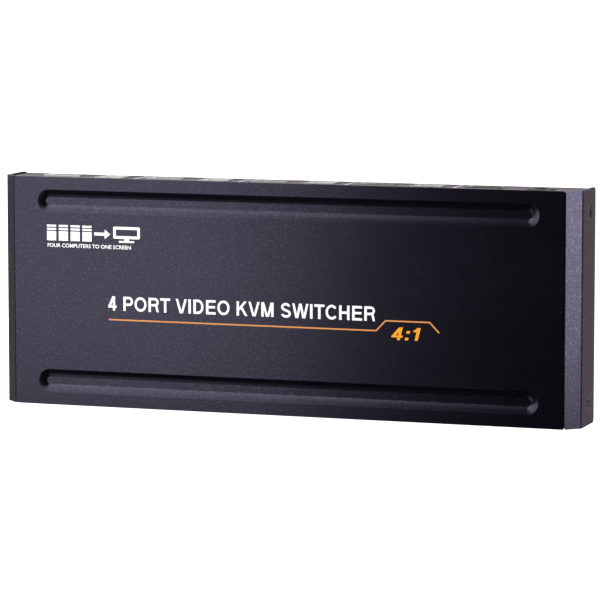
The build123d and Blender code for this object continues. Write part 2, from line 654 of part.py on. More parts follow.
def device_insert():
    """Moulded insert of a device socket: a back block with a tongue near the roof."""
    width, height = DEVICE_TONGUE
    inset = DEVICE_WALL + INSERT_GAP
    insert = run_back(grown(rectangle_face(DEVICE_WIDTH, 0, DEVICE_HEIGHT), -inset),
                      DEVICE_DEPTH - DEVICE_BACK, DEVICE_BACK)
    insert = fillet(insert.edges().filter_by(Axis.Y), DEVICE_WALL)
    low = device_tongue_low()
    return insert + block(-width / 2, width / 2, -DEVICE_DEPTH + DEVICE_BACK, -DEVICE_TONGUE_BACK,
                          low, low + height)


def device_contacts():
    """Four contacts under the tongue of a device socket."""
    width, length, height = DEVICE_CONTACT
    low = device_tongue_low()
    back = -DEVICE_DEPTH + DEVICE_BACK
    return [block(x - width / 2, x + width / 2, back, back + length, low - height, low)
            for x in DEVICE_CONTACTS]


def jack_body():
    """Moulded body of the power jack: a round nose on a square block."""
    middle = JACK_HEIGHT / 2
    body = standing(JACK_WIDTH, JACK_DEPTH - JACK_NOSE_LENGTH, JACK_HEIGHT, 0,
                    -(JACK_DEPTH + JACK_NOSE_LENGTH) / 2, 0)
    body += pin_to_rear(JACK_NOSE_RADIUS, JACK_DEPTH / 2, 0, -JACK_DEPTH / 2, middle)
    body -= pin_to_rear(JACK_BORE_RADIUS, JACK_BORE_DEPTH + OVERCUT, 0, -JACK_BORE_DEPTH, middle)
    body -= Pos(0, 0, middle) * Rot(90, 0, 0) * Cone(
        JACK_BORE_RADIUS + JACK_MOUTH_CHAMFER, JACK_BORE_RADIUS, JACK_MOUTH_CHAMFER, align=MIDDLE_AND_UP
    )
    return body - pin_to_rear(JACK_PIN_ROOT_RADIUS + JACK_PIN_GAP, JACK_DEPTH, 0, -JACK_DEPTH, middle)


def jack_pin():
    """Centre pin of the power jack: a rounded tip on a thicker root pressed into the body."""
    middle = JACK_HEIGHT / 2
    pin = pin_to_rear(JACK_PIN_RADIUS, JACK_BORE_DEPTH - JACK_PIN_BACK, 0, -JACK_BORE_DEPTH, middle)
    pin = fillet(pin.edges().group_by(Axis.Y)[-1], JACK_PIN_TIP)
    return pin + pin_to_rear(JACK_PIN_ROOT_RADIUS, JACK_DEPTH - JACK_BORE_DEPTH, 0, -JACK_DEPTH, middle)


def at_rear(shape, x):
    """A socket's piece in the rear panel."""
    return Pos(x, FACE_Y, BOARD_TOP) * shape


def at_front(shape, x):
    """A socket's piece in the front panel."""
    return Pos(x, -FACE_Y, BOARD_TOP) * Rot(0, 0, 180) * shape


# ---- select buttons ----
def button_cap(x):
    """Cap of a select button, its collar held behind the front panel."""
    cap_face = RectangleRounded(BUTTON_WIDTH, BUTTON_HEIGHT, BUTTON_CORNER)
    cap = Pos(0, COLLAR_BACK_Y, 0) * extrude(Plane.XZ * cap_face, amount=COLLAR_BACK_Y - BUTTON_FACE_Y)
    cap = fillet(cap.edges().group_by(Axis.Y)[0], BUTTON_EDGE)
    rims = 2 * BUTTON_COLLAR_RIM
    collar_corner = BUTTON_CORNER + BUTTON_COLLAR_RIM
    collar_face = RectangleRounded(BUTTON_WIDTH + rims, BUTTON_HEIGHT + rims, collar_corner)
    collar = Pos(0, COLLAR_BACK_Y, 0) * extrude(Plane.XZ * collar_face, amount=BUTTON_COLLAR_THICKNESS)
    dish_radius = BUTTON_HEIGHT**2 / (8 * BUTTON_DISH)
    dish = Pos(0, BUTTON_FACE_Y - dish_radius + BUTTON_DISH, 0) * Rot(0, 90, 0) * Cylinder(
        dish_radius, BUTTON_WIDTH - 2 * BUTTON_CORNER
    )
    return Pos(x, 0, ROW_Z) * (cap + collar - dish)


def switch_plunger(x):
    """Plunger of the switch behind a cap, carried with the cap."""
    return pin_to_rear(PLUNGER_RADIUS, PLUNGER_LENGTH, x, COLLAR_BACK_Y, ROW_Z)


def switch_body(x):
    """Body of the switch, soldered to the board, with the plunger's bore."""
    width, depth, height = SWITCH_SIZE
    body = block(x - width / 2, x + width / 2, SWITCH_FRONT_Y, SWITCH_FRONT_Y + depth,
                 BOARD_TOP, BOARD_TOP + height)
    plunger_end = COLLAR_BACK_Y + PLUNGER_LENGTH
    depth = plunger_end + BUTTON_TRAVEL + SWITCH_SPARE - SWITCH_FRONT_Y
    bore = pin_to_rear(PLUNGER_RADIUS + PLUNGER_GAP, depth + OVERCUT, x, SWITCH_FRONT_Y - OVERCUT, ROW_Z)
    return body - bore


# ---- lamps and remote window ----
def led(x):
    """Round lamp with a domed tip and a brim behind the panel."""
    tip = -PANEL_OUT - LED_PROUD
    body = pin_to_rear(LED_RADIUS, LED_LENGTH, x, tip, ROW_Z)
    body = fillet(body.edges().group_by(Axis.Y)[0], LED_DOME)
    brim_front = tip + LED_LENGTH - LED_BRIM_LENGTH
    return body + pin_to_rear(LED_RADIUS + LED_BRIM, LED_BRIM_LENGTH, x, brim_front, ROW_Z)


def led_holder(x):
    """Moulded spacer that holds a lamp above the board."""
    front = -PANEL_IN + HOLDER_PANEL_GAP
    holder = standing(HOLDER_WIDTH, HOLDER_DEPTH, FRONT_ROW_HEIGHT + HOLDER_ABOVE, x,
                      front + HOLDER_DEPTH / 2, BOARD_TOP)
    brim_front = -PANEL_OUT - LED_PROUD + LED_LENGTH - LED_BRIM_LENGTH
    holder -= pin_to_rear(LED_RADIUS + LED_GAP, HOLDER_DEPTH + OVERCUT, x, front - OVERCUT, ROW_Z)
    return holder - pin_to_rear(LED_RADIUS + LED_BRIM + LED_GAP, HOLDER_DEPTH, x, brim_front, ROW_Z)


def ir_window():
    """Dark window for the remote control, its brim behind the panel."""
    lens = pin_to_rear(IR_RADIUS, SHEET + IR_PROUD + IR_BRIM_THICKNESS, IR_X, -PANEL_OUT - IR_PROUD, ROW_Z)
    lens = fillet(lens.edges().group_by(Axis.Y)[0], IR_EDGE)
    return lens + pin_to_rear(IR_RADIUS + IR_BRIM, IR_BRIM_THICKNESS, IR_X, -PANEL_IN, ROW_Z)


def ir_receiver():
    """Receiver that looks out through the window."""
    width, depth, height = IR_BODY
    front = -PANEL_IN + IR_BRIM_THICKNESS + IR_BODY_BACK
    body = block(IR_X - width / 2, IR_X + width / 2, front, front + depth, BOARD_TOP, BOARD_TOP + height)
    return body + Pos(IR_X, front, ROW_Z) * Sphere(IR_DOME_RADIUS)


# ---- parts on the board ----
def chip(size, place, lift=0.0):
    """A flat square part on the board."""
    return standing(*size, *place, BOARD_TOP + lift)


def heat_sink():
    """Finned cooler on the switch chip."""
    low = BOARD_TOP + CHIP_SIZE[2] + PAD_THICKNESS
    width, depth = SINK_SIZE
    x, y = CHIP_PLACE
    sink = standing(width, depth, SINK_PLATE, x, y, low)
    step = (width - SINK_FIN_THICKNESS) / (SINK_FINS - 1)
    for i in range(SINK_FINS):
        fin_x = x - (width - SINK_FIN_THICKNESS) / 2 + i * step
        sink += standing(SINK_FIN_THICKNESS, depth, SINK_PLATE + SINK_FIN_HEIGHT, fin_x, y, low)
    return sink


def capacitor(place):
    """Can with rolled edges, standing on the board."""
    can = post(CAPACITOR_RADIUS, CAPACITOR_HEIGHT, *place, BOARD_TOP)
    return fillet(can.edges(), CAPACITOR_EDGE)


def coil(place):
    """Square power inductor with cut corners."""
    body = chip(COIL_SIZE, place)
    return chamfer(body.edges().filter_by(Axis.Z), COIL_CORNER)


def crystal():
    """Oscillator can with round ends."""
    length, width, height = CRYSTAL_SIZE
    can = extrude(SlotOverall(length, width), amount=height)
    return Pos(*CRYSTAL_PLACE, BOARD_TOP) * can


# ---- write every node ----
def main():
    """Build each node and write it to its own file."""
    os.makedirs("parts", exist_ok=True)
    save("top_cover", top_cover())
    save("base_tray", base_tray())
    save("cover_screws", *cover_screws())
    save("board_screws", *board_screws())
    save("board_standoffs", *standoffs())
    save("rubber_feet", *rubber_feet())
    save("main_board", main_board())
    for i, x in enumerate(VIDEO_X):
        port = "video_out" if i == VIDEO_COUNT - 1 else f"video_in_{i + 1}"
        save(f"{port}_shell", at_rear(video_shell(), x))
        save(f"{port}_insert", at_rear(video_insert(), x))
    save("video_contacts", *[at_rear(one, x) for x in VIDEO_X for one in video_contacts()])
    for i, x in enumerate(HOST_X):
        save(f"host_{i + 1}_shell", at_rear(host_shell(), x))
        save(f"host_{i + 1}_insert", at_rear(host_insert(), x))
    save("host_contacts", *[at_rear(one, x) for x in HOST_X for one in host_contacts()])
    for i, x in enumerate(DEVICE_X):
        save(f"device_{i + 1}_shell", at_front(device_shell(), x))
        save(f"device_{i + 1}_insert", at_front(device_insert(), x))
    save("device_contacts", *[at_front(one, x) for x in DEVICE_X for one in device_contacts()])
    save("power_jack_body", at_rear(jack_body(), JACK_X))
    save("power_jack_pin", at_rear(jack_pin(), JACK_X))
    for i, x in enumerate(BUTTON_X):
        save(f"select_button_{i + 1}", button_cap(x))
        save(f"switch_plunger_{i + 1}", switch_plunger(x))
    save("switch_bodies", *[switch_body(x) for x in BUTTON_X])
    save("port_leds", *[led(x) for x in PORT_LED_X])
    save("power_led", led(POWER_LED_X))
    save("led_holders", *[led_holder(x) for x in [POWER_LED_X] + PORT_LED_X])
    save("ir_window", ir_window())
    save("ir_receiver", ir_receiver())
    save("switch_chip", chip(CHIP_SIZE, CHIP_PLACE))
    save("thermal_pad", chip((PAD_SIZE, PAD_SIZE, PAD_THICKNESS), CHIP_PLACE, CHIP_SIZE[2]))
    save("heat_sink", heat_sink())
    save("small_chips", *[chip(SMALL_CHIP_SIZE, place) for place in SMALL_CHIP_PLACES])
    save("capacitors", *[capacitor(place) for place in CAPACITOR_PLACES])
    save("inductors", *[coil(place) for place in COIL_PLACES])
    save("crystal", crystal())


if __name__ == "__main__":
    main()
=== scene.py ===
import logging
import math
from dataclasses import dataclass, field
from enum import Enum
from fnmatch import fnmatchcase

import bmesh
import bpy
from mathutils import Matrix, Vector


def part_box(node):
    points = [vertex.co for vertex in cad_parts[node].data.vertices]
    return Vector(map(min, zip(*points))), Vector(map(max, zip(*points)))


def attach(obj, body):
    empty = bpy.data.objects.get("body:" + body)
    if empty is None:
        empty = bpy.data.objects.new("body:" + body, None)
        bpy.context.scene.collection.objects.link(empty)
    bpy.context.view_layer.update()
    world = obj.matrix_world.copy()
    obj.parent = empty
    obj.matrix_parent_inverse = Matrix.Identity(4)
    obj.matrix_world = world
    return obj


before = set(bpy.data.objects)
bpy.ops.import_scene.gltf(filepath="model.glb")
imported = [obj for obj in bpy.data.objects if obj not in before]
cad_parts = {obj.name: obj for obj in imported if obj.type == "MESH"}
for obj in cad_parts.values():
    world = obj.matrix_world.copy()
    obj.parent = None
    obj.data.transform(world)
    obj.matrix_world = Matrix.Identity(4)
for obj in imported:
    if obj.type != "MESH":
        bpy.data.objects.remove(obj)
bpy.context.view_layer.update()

LOG = logging.getLogger("desk_switch")
MM = 0.001
CASE = "case"
INK_THICKNESS = 0.02 * MM
STROKE_STEP = 0.0002 * MM  # each stroke of a mark stands this much over the last, so none is coplanar
SHARP_ANGLE = math.radians(35)
MITRE_LIMIT = 0.3
DOT_SHY = 0.01  # a dot's corner radius is this much under half its width, so its corners stay apart
CURVE_STEPS = 5
HALF_EXTRUDE = 0.5
WELD = 1e-5
NODE_STEP = (220, -80)
NODE_ROWS = 4
RGB = tuple[float, float, float]
RGBA = tuple[float, float, float, float]
Point = tuple[float, float]
BLACK: RGBA = (0.0, 0.0, 0.0, 1.0)
WHITE: RGBA = (1.0, 1.0, 1.0, 1.0)


# ---- node trees
class Tree:
    """Adds and links nodes in one shader node tree."""

    def __init__(self, tree: bpy.types.NodeTree) -> None:
        """Wrap a node tree that is empty or holds only what should stay."""
        self.tree = tree
        self.column = 0

    def add(self, kind: str, inputs: dict | None = None, **settings: object) -> bpy.types.Node:
        """Add a node and set its inputs, which are values or sockets to link from.

        Args:
            kind: The node's type name.
            inputs: Input name or index to a value or an output socket.
            settings: Properties of the node itself.

        Returns:
            The new node.
        """
        node = self.tree.nodes.new(kind)
        node.location = (NODE_STEP[0] * self.column, NODE_STEP[1] * (self.column % NODE_ROWS))
        self.column += 1
        for name, value in settings.items():
            setattr(node, name, value)
        self.feed(node, inputs or {})
        return node

    def feed(self, node: bpy.types.Node, inputs: dict) -> None:
        """Link output sockets to a node's inputs, or set the inputs' own values.

        Args:
            node: The node.
            inputs: Input name or index to a value or an output socket.
        """
        for name, value in inputs.items():
            if isinstance(value, bpy.types.NodeSocket):
                self.tree.links.new(value, node.inputs[name])
            else:
                node.inputs[name].default_value = value

    def maths(self, operation: str, first: object, second: object, clamp: bool = False) -> object:
        """Output of a Math node on two values or sockets, kept between 0 and 1 if clamp is set."""
        node = self.add("ShaderNodeMath", {0: first, 1: second}, operation=operation, use_clamp=clamp)
        return node.outputs[0]

    def remap(self, value: object, start: float, end: float, low: float = 0.0, high: float = 1.0) -> object:
        """Output of a Map Range node, which is low where the value is start and high where it is end."""
        inputs = {"Value": value, "From Min": start, "From Max": end, "To Min": low, "To Max": high}
        return self.add("ShaderNodeMapRange", inputs).outputs["Result"]

    def mix(self, factor: object, first: object, second: object) -> object:
        """Mix two colours.

        Args:
            factor: Value or socket.
            first: Colour or socket at 0.
            second: Colour or socket at 1.

        Returns:
            The node's colour output.
        """
        node = self.add("ShaderNodeMix", data_type="RGBA")
        self.feed(node, {0: factor, 6: first, 7: second})
        return node.outputs[2]

    def place(self) -> object:
        """The object's own coordinates."""
        return self.add("ShaderNodeTexCoord").outputs["Object"]

    def normal(self) -> object:
        """The surface's normal, before any bump."""
        return self.add("ShaderNodeNewGeometry").outputs["Normal"]

    def noise(self, scale: object, detail: float, place: object | None = None, **inputs: float) -> object:
        """Value of a Noise Texture node, over the object's own coordinates if no place is given."""
        inputs = {"Vector": place or self.place(), "Scale": scale, "Detail": detail, **inputs}
        return self.add("ShaderNodeTexNoise", inputs).outputs[0]


class Effect(Enum):
    """Surface effects shared by several finishes, each a node group built once."""

    GRAIN = "fine_grain"
    EDGE_WEAR = "edge_wear"
    MOTTLE = "slow_mottle"
    BRUSH = "drawn_lines"
    DUST = "settled_dust"


class EffectGroups:
    """Builds the shared node groups and places them in materials."""

    _built: dict[Effect, bpy.types.NodeTree] = {}
    WEAR_PATCHES = 420.0  # per metre, as the other scales are
    DUST_SPECKS = 330.0
    COARSE_SHARE = 0.31
    LINE_STRETCH = (0.03, 1.0, 1.0)

    @classmethod
    def place(cls, tree: Tree, effect: Effect, **inputs: float) -> bpy.types.bpy_prop_collection:
        """Place an effect's group in a material's tree.

        Args:
            tree: The material's tree.
            effect: Which effect.
            inputs: The group's inputs by name.

        Returns:
            The group node's outputs.
        """
        if effect not in cls._built:
            cls._built[effect] = getattr(cls, f"_build_{effect.name.lower()}")()
        return tree.add("ShaderNodeGroup", inputs, node_tree=cls._built[effect]).outputs

    @staticmethod
    def _group(effect: Effect, inputs: dict[str, float], outputs: list[str]) -> tuple[Tree, object, object]:
        """Make an empty group with its sockets.

        Args:
            effect: Names the group.
            inputs: Input names and their defaults, all plain numbers.
            outputs: Output names, all plain numbers except one called Normal.

        Returns:
            The tree, the group's inputs as sockets to link from, and the Group Output node.
        """
        group = bpy.data.node_groups.new(effect.value, "ShaderNodeTree")
        for name, default in inputs.items():
            socket = group.interface.new_socket(name, in_out="INPUT", socket_type="NodeSocketFloat")
            socket.default_value = default
        for name in outputs:
            kind = "NodeSocketVector" if name == "Normal" else "NodeSocketFloat"
            group.interface.new_socket(name, in_out="OUTPUT", socket_type=kind)
        tree = Tree(group)
        return tree, tree.add("NodeGroupInput").outputs, tree.add("NodeGroupOutput")

    @classmethod
    def _build_grain(cls) -> bpy.types.NodeTree:
        """Two sizes of fine grain: a height for bumps and a mask for flecks.

        Returns:
            The group, with Height and Mask.
        """
        tree, given, end = cls._group(Effect.GRAIN, {"Size": 0.0006, "Coarse": 0.4}, ["Height", "Mask"])
        frequency = tree.maths("DIVIDE", 1.0, given["Size"])
        fine = tree.noise(frequency, 2.0, Roughness=0.55)
        wide = tree.noise(tree.maths("MULTIPLY", frequency, cls.COARSE_SHARE), 1.0)
        height = tree.add("ShaderNodeMix", {0: given["Coarse"], 2: fine, 3: wide}).outputs[0]
        tree.feed(end, {"Height": height, "Mask": tree.remap(fine, 0.5, 0.72)})
        return tree.tree

    @classmethod
    def _build_edge_wear(cls) -> bpy.types.NodeTree:
        """Rounded edge normals, and a mask of edges that are rubbed here and there, which on the screws also
        places painted highlights.

        Returns:
            The group, with Mask and Normal.
        """
        tree, given, end = cls._group(Effect.EDGE_WEAR, {"Radius": 0.0003, "Amount": 0.5}, ["Mask", "Normal"])
        bevel = tree.add("ShaderNodeBevel", {"Radius": given["Radius"]}, samples=6).outputs[0]
        facing = tree.add("ShaderNodeVectorMath", {0: bevel, 1: tree.normal()}, operation="DOT_PRODUCT")
        edge = tree.remap(facing.outputs["Value"], 0.995, 0.90)
        patchy = tree.remap(tree.noise(cls.WEAR_PATCHES, 3.0), 0.42, 0.66)
        worn = tree.maths("MULTIPLY", edge, patchy)
        tree.feed(end, {"Mask": tree.maths("MULTIPLY", worn, given["Amount"], True), "Normal": bevel})
        return tree.tree

    @classmethod
    def _build_mottle(cls) -> bpy.types.NodeTree:
        """Slow, cloudy changes from 0 to 1 over centimetres, with fainter small ones on them.

        Returns:
            The group, with Mask.
        """
        tree, given, end = cls._group(Effect.MOTTLE, {"Size": 0.03, "Contrast": 1.0}, ["Mask"])
        scale = tree.maths("DIVIDE", 1.0, given["Size"])
        centred = tree.maths("SUBTRACT", tree.noise(scale, 4.0, Roughness=0.6, Distortion=0.3), 0.5)
        stretched = tree.maths("MULTIPLY", centred, given["Contrast"])
        tree.feed(end, {"Mask": tree.maths("ADD", stretched, 0.5, True)})
        return tree.tree

    @classmethod
    def _build_brush(cls) -> bpy.types.NodeTree:
        """Fine lines along X, as rolled or drawn metal has.

        Returns:
            The group, with Height.
        """
        tree, given, end = cls._group(Effect.BRUSH, {"Width": 0.0002}, ["Height"])
        scale = tree.maths("DIVIDE", 1.0, given["Width"])
        stretch = tree.add("ShaderNodeMapping", {"Vector": tree.place(), "Scale": cls.LINE_STRETCH})
        tree.feed(end, {"Height": tree.noise(scale, 2.0, stretch.outputs[0])})
        return tree.tree

    @classmethod
    def _build_dust(cls) -> bpy.types.NodeTree:
        """A thin, uneven mask on surfaces that face up.

        Returns:
            The group, with Mask.
        """
        tree, given, end = cls._group(Effect.DUST, {"Amount": 0.1}, ["Mask"])
        up = tree.add("ShaderNodeSeparateXYZ", {0: tree.normal()}).outputs["Z"]
        specks = tree.add("ShaderNodeTexVoronoi", {"Vector": tree.place(), "Scale": cls.DUST_SPECKS})
        near = tree.remap(specks.outputs["Distance"], 0.09, 0.05)
        mask = tree.maths("MULTIPLY", tree.remap(up, 0.5, 1.0), near)
        tree.feed(end, {"Mask": tree.maths("MULTIPLY", mask, given["Amount"], True)})
        return tree.tree


# ---- finishes
@dataclass(frozen=True)
class Finish:
    """What every finish shares. Its own shading is added by shade().

    The slot names the record's material slot for pieces that aren't in the CAD; it is not used.
    """

    name: str
    color: RGB
    roughness: float = 0.5
    slot: str = ""

    def material(self) -> bpy.types.Material:
        """Build the material, or return the one already built under this name.

        Returns:
            A node material with one Principled shader.
        """
        made = bpy.data.materials.get(self.name)
        if made:
            return made
        made = bpy.data.materials.new(self.name)
        made.use_nodes = True
        made.diffuse_color = self.tint()
        tree = Tree(made.node_tree)
        shader = made.node_tree.nodes["Principled BSDF"]
        tree.feed(shader, {"Base Color": self.tint(), "Roughness": self.roughness})
        self.shade(tree, shader)
        return made

    def shade(self, tree: Tree, shader: bpy.types.Node) -> None:
        """Add this finish's own nodes to the material's tree and its Principled shader."""
        raise NotImplementedError

    def tint(self, factor: float = 1.0) -> RGBA:
        """The finish's colour, lighter or darker by a factor, with full alpha."""
        return (*(min(1.0, channel * factor) for channel in self.color), 1.0)

    @staticmethod
    def bump(tree: Tree, height: object, depth: float, normal: object | None = None) -> object:
        """Add a Bump node.

        Args:
            tree: The material's tree.
            height: Socket with the height from 0 to 1.
            depth: Depth in metres that a height of 1 stands for.
            normal: Normal to start from, or None for the surface's own.

        Returns:
            The bumped normal.
        """
        inputs = {"Height": height, "Distance": depth, "Strength": 1.0}
        if normal is not None:
            inputs["Normal"] = normal
        return tree.add("ShaderNodeBump", inputs).outputs[0]


@dataclass(frozen=True)
class PowderCoat(Finish):
    """Baked powder paint on steel sheet: satin, with a fine pebbled grain and rubbed edges, which on the
    screws are painted highlights as well as wear.
    """

    sheen: RGB = (0.72, 0.66, 1.0)
    speckle: float = 0.32
    grain: float = 0.9 * MM
    depth: float = 0.007 * MM
    gloss_change: float = 0.04
    wear: float = 0.5
    # colour of rubbed edges: bare steel, and on the screws a light colour that paints highlights
    bare: RGB = (0.30, 0.29, 0.30)
    dust: float = 0.05
    dust_color: RGB = (0.30, 0.29, 0.28)

    def shade(self, tree: Tree, shader: bpy.types.Node) -> None:
        """Paint, its grain, slow changes in gloss, rubbed edges (on the screws also painted highlights) and a
        little dust.

        Args:
            tree: The material's tree.
            shader: Its Principled shader.
        """
        grain = EffectGroups.place(tree, Effect.GRAIN, Size=self.grain, Coarse=0.35)
        mottle = EffectGroups.place(tree, Effect.MOTTLE, Size=45.0 * MM, Contrast=1.2)
        edge = EffectGroups.place(tree, Effect.EDGE_WEAR, Radius=0.25 * MM, Amount=self.wear)
        dust = EffectGroups.place(tree, Effect.DUST, Amount=self.dust)
        paint = tree.mix(grain["Mask"], self.tint(0.8), self.tint(1.9))
        # edges take the bare colour: worn paint, and on the screws painted highlights as well
        worn = tree.mix(edge["Mask"], paint, (*self.bare, 1.0))
        slow = tree.remap(mottle["Mask"], 0.0, 1.0, self.roughness - self.gloss_change,
                          self.roughness + self.gloss_change)
        tree.feed(shader, {
            "Base Color": tree.mix(dust["Mask"], worn, (*self.dust_color, 1.0)),
            "Roughness": tree.maths("ADD", slow, tree.maths("MULTIPLY", grain["Mask"], -0.06)),
            "Specular Tint": (*self.sheen, 1.0),
            "Coat Roughness": self.roughness,
            "Coat Weight": tree.maths("MULTIPLY", grain["Mask"], self.speckle),
            "Normal": self.bump(tree, grain["Height"], self.depth, edge["Normal"]),
        })


@dataclass(frozen=True)
class MouldedPlastic(Finish):
    """Injection-moulded plastic or rubber: a fine spark texture and softly worn edges."""

    grain: float = 0.25 * MM
    depth: float = 0.006 * MM
    wear: float = 0.25
    coat: float = 0.0

    def shade(self, tree: Tree, shader: bpy.types.Node) -> None:
        """Colour changes with the grain, lighter rubbed edges, and a bump.

        Args:
            tree: The material's tree.
            shader: Its Principled shader.
        """
        grain = EffectGroups.place(tree, Effect.GRAIN, Size=self.grain, Coarse=0.25)
        mottle = EffectGroups.place(tree, Effect.MOTTLE, Size=6.0 * MM, Contrast=1.0)
        edge = EffectGroups.place(tree, Effect.EDGE_WEAR, Radius=0.12 * MM, Amount=self.wear)
        body = tree.mix(mottle["Mask"], self.tint(0.85), self.tint(1.15))
        lighter = tuple(min(1.0, 0.08 + channel * 1.3) for channel in self.color)
        tree.feed(shader, {
            "Base Color": tree.mix(edge["Mask"], body, (*lighter, 1.0)),
            "Roughness": tree.remap(grain["Mask"], 0.0, 1.0, self.roughness + 0.05, self.roughness - 0.08),
            "Coat Weight": self.coat,
            "Normal": self.bump(tree, grain["Height"], self.depth, edge["Normal"]),
        })


@dataclass(frozen=True)
class PlatedMetal(Finish):
    """Plated or anodised metal with drawn lines and faint smudges."""

    line_width: float = 0.12 * MM
    depth: float = 0.0015 * MM
    tarnish: float = 0.25

    def shade(self, tree: Tree, shader: bpy.types.Node) -> None:
        """Metal with lines from rolling, cloudier where it has been handled.

        Args:
            tree: The material's tree.
            shader: Its Principled shader.
        """
        brush = EffectGroups.place(tree, Effect.BRUSH, Width=self.line_width)
        mottle = EffectGroups.place(tree, Effect.MOTTLE, Size=4.0 * MM, Contrast=1.6)
        edge = EffectGroups.place(tree, Effect.EDGE_WEAR, Radius=0.08 * MM, Amount=0.5)
        plate = tree.mix(mottle["Mask"], self.tint(1.0 - self.tarnish), self.tint(1.05))
        tree.feed(shader, {
            "Base Color": tree.mix(edge["Mask"], plate, self.tint(1.2)),
            "Metallic": 1.0,
            "Roughness": tree.remap(mottle["Mask"], 0.0, 1.0, self.roughness + 0.1, self.roughness - 0.05),
            "Normal": self.bump(tree, brush["Height"], self.depth, edge["Normal"]),
        })


@dataclass(frozen=True)
class PrintedInk(Finish):
    """Screen-printed ink: even, with pinholes where the paint's grain shows through, and a painted glow,
    since it emits its own colour.
    """

    opacity_loss: float = 0.1
    glow: float = 0.0

    def shade(self, tree: Tree, shader: bpy.types.Node) -> None:
        """Ink that thins a little over the grain's peaks, with a painted glow of its own colour.

        Args:
            tree: The material's tree.
            shader: Its Principled shader.
        """
        grain = EffectGroups.place(tree, Effect.GRAIN, Size=0.5 * MM, Coarse=0.3)
        thin = tree.maths("MULTIPLY", grain["Mask"], self.opacity_loss)
        tree.feed(shader, {
            "Base Color": tree.mix(thin, self.tint(), self.tint(0.55)),
            "Normal": self.bump(tree, grain["Height"], 0.008 * MM),
            # painted glow: the ink emits its own colour, though it is no lamp
            "Emission Color": self.tint(),
            "Emission Strength": self.glow,
        })


@dataclass(frozen=True)
class ClearLens(Finish):
    """Tinted clear plastic over a dark inside, as an unlit lamp or a remote window has."""

    deep: RGB = (0.02, 0.02, 0.02)
    glow: float = 0.0

    def shade(self, tree: Tree, shader: bpy.types.Node) -> None:
        """Patches of the dark inside and of the tint, under a glossy skin.

        Args:
            tree: The material's tree.
            shader: Its Principled shader.
        """
        mottle = EffectGroups.place(tree, Effect.MOTTLE, Size=2.0 * MM, Contrast=0.8)
        tree.feed(shader, {
            "Base Color": tree.mix(mottle["Mask"], (*self.deep, 1.0), self.tint(0.8)),
            "Coat Weight": 1.0,
            "Coat Roughness": 0.04,
            "Emission Color": self.tint(),
            "Emission Strength": self.glow,
        })


@dataclass(frozen=True)
class SolderMask(Finish):
    """Board laminate under green mask, with copper tracks showing through."""

    track: RGB = (0.03, 0.20, 0.09)
    cells: float = 260.0

    def shade(self, tree: Tree, shader: bpy.types.Node) -> None:
        """Square-cornered track pattern, lighter than the mask between the tracks.

        Args:
            tree: The material's tree.
            shader: Its Principled shader.
        """
        inputs = {"Vector": tree.place(), "Scale": self.cells}
        cells = tree.add("ShaderNodeTexVoronoi", inputs, distance="MANHATTAN")
        tracks = tree.remap(cells.outputs["Distance"], 0.42, 0.46)
        tree.feed(shader, {
            "Base Color": tree.mix(tracks, self.tint(), (*self.track, 1.0)),
            "Normal": self.bump(tree, tracks, 0.03 * MM),
            "Coat Weight": 0.4,
        })


@dataclass(frozen=True)
class PaleFloor(Finish):
    """Seamless studio floor, blown out to white for the camera and much dimmer in reflections.

    It is brighter in reflections behind the object than beside it.
    """

    glow: float = 1.1
    mirrored: RGB = (0.29, 0.245, 0.275)
    behind: RGB = (1.0, 0.93, 0.95)
    behind_from: float = 46.0 * MM
    behind_full: float = 50.0 * MM

    def shade(self, tree: Tree, shader: bpy.types.Node) -> None:
        """White to the camera, dimmer in reflections, clear from below, with a trace of paper fibre.

        Args:
            tree: The material's tree.
            shader: Its Principled shader.
        """
        path = tree.add("ShaderNodeLightPath").outputs
        mottle = EffectGroups.place(tree, Effect.MOTTLE, Size=300.0 * MM, Contrast=0.5)
        paper = tree.mix(mottle["Mask"], self.tint(0.98), self.tint())
        back = tree.add("ShaderNodeSeparateXYZ", {"Vector": tree.place()}).outputs["Y"]
        behind = tree.remap(back, self.behind_from, self.behind_full)
        mirrored = tree.mix(behind, (*self.mirrored, 1.0), (*self.behind, 1.0))
        seen = tree.mix(path["Is Glossy Ray"], BLACK, mirrored)
        below = tree.add("ShaderNodeNewGeometry").outputs["Backfacing"]
        tree.feed(shader, {
            "Base Color": tree.mix(path["Is Glossy Ray"], paper, BLACK),
            "Emission Color": tree.mix(path["Is Camera Ray"], seen, WHITE),
            "Emission Strength": self.glow,
            "Alpha": tree.maths("SUBTRACT", 1.0, below),
        })


LID_PAINT = PowderCoat("lid_powder_coat", (0.0010, 0.0008, 0.0024), 0.27)
TRAY_PAINT = PowderCoat("tray_powder_coat", (0.0085, 0.0078, 0.0105), 0.30, dust=0.0)
# screw edges fully take a light bare colour: wear, and painted highlights on the heads
SCREW_BLACK_WITH_PAINTED_HIGHLIGHTS = PowderCoat("screw_black_oxide_painted_highlights", (0.003, 0.003, 0.003), 0.62, sheen=(1.0, 1.0, 1.0),
                         grain=0.2 * MM, depth=0.003 * MM, wear=1.0, dust=0.0, bare=(0.62, 0.61, 0.60))
SCREW_ZINC = PlatedMetal("screw_zinc", (0.62, 0.62, 0.63), 0.32)
FOOT_RUBBER = MouldedPlastic("foot_rubber", (0.018, 0.018, 0.018), 0.78, grain=0.4 * MM, depth=0.02 * MM)
BOARD_MASK = SolderMask("board_solder_mask", (0.012, 0.10, 0.045), 0.38)
SHELL_NICKEL = PlatedMetal("socket_shell_nickel", (0.66, 0.65, 0.63), 0.26)
LEAF_STEEL = PlatedMetal("spring_leaf_steel", (0.58, 0.57, 0.55), 0.30, "spring_steel")
CONTACT_GOLD = PlatedMetal("contact_gold", (0.86, 0.60, 0.24), 0.22, tarnish=0.12)
PIN_NICKEL = PlatedMetal("pin_nickel", (0.72, 0.70, 0.66), 0.20, tarnish=0.12)
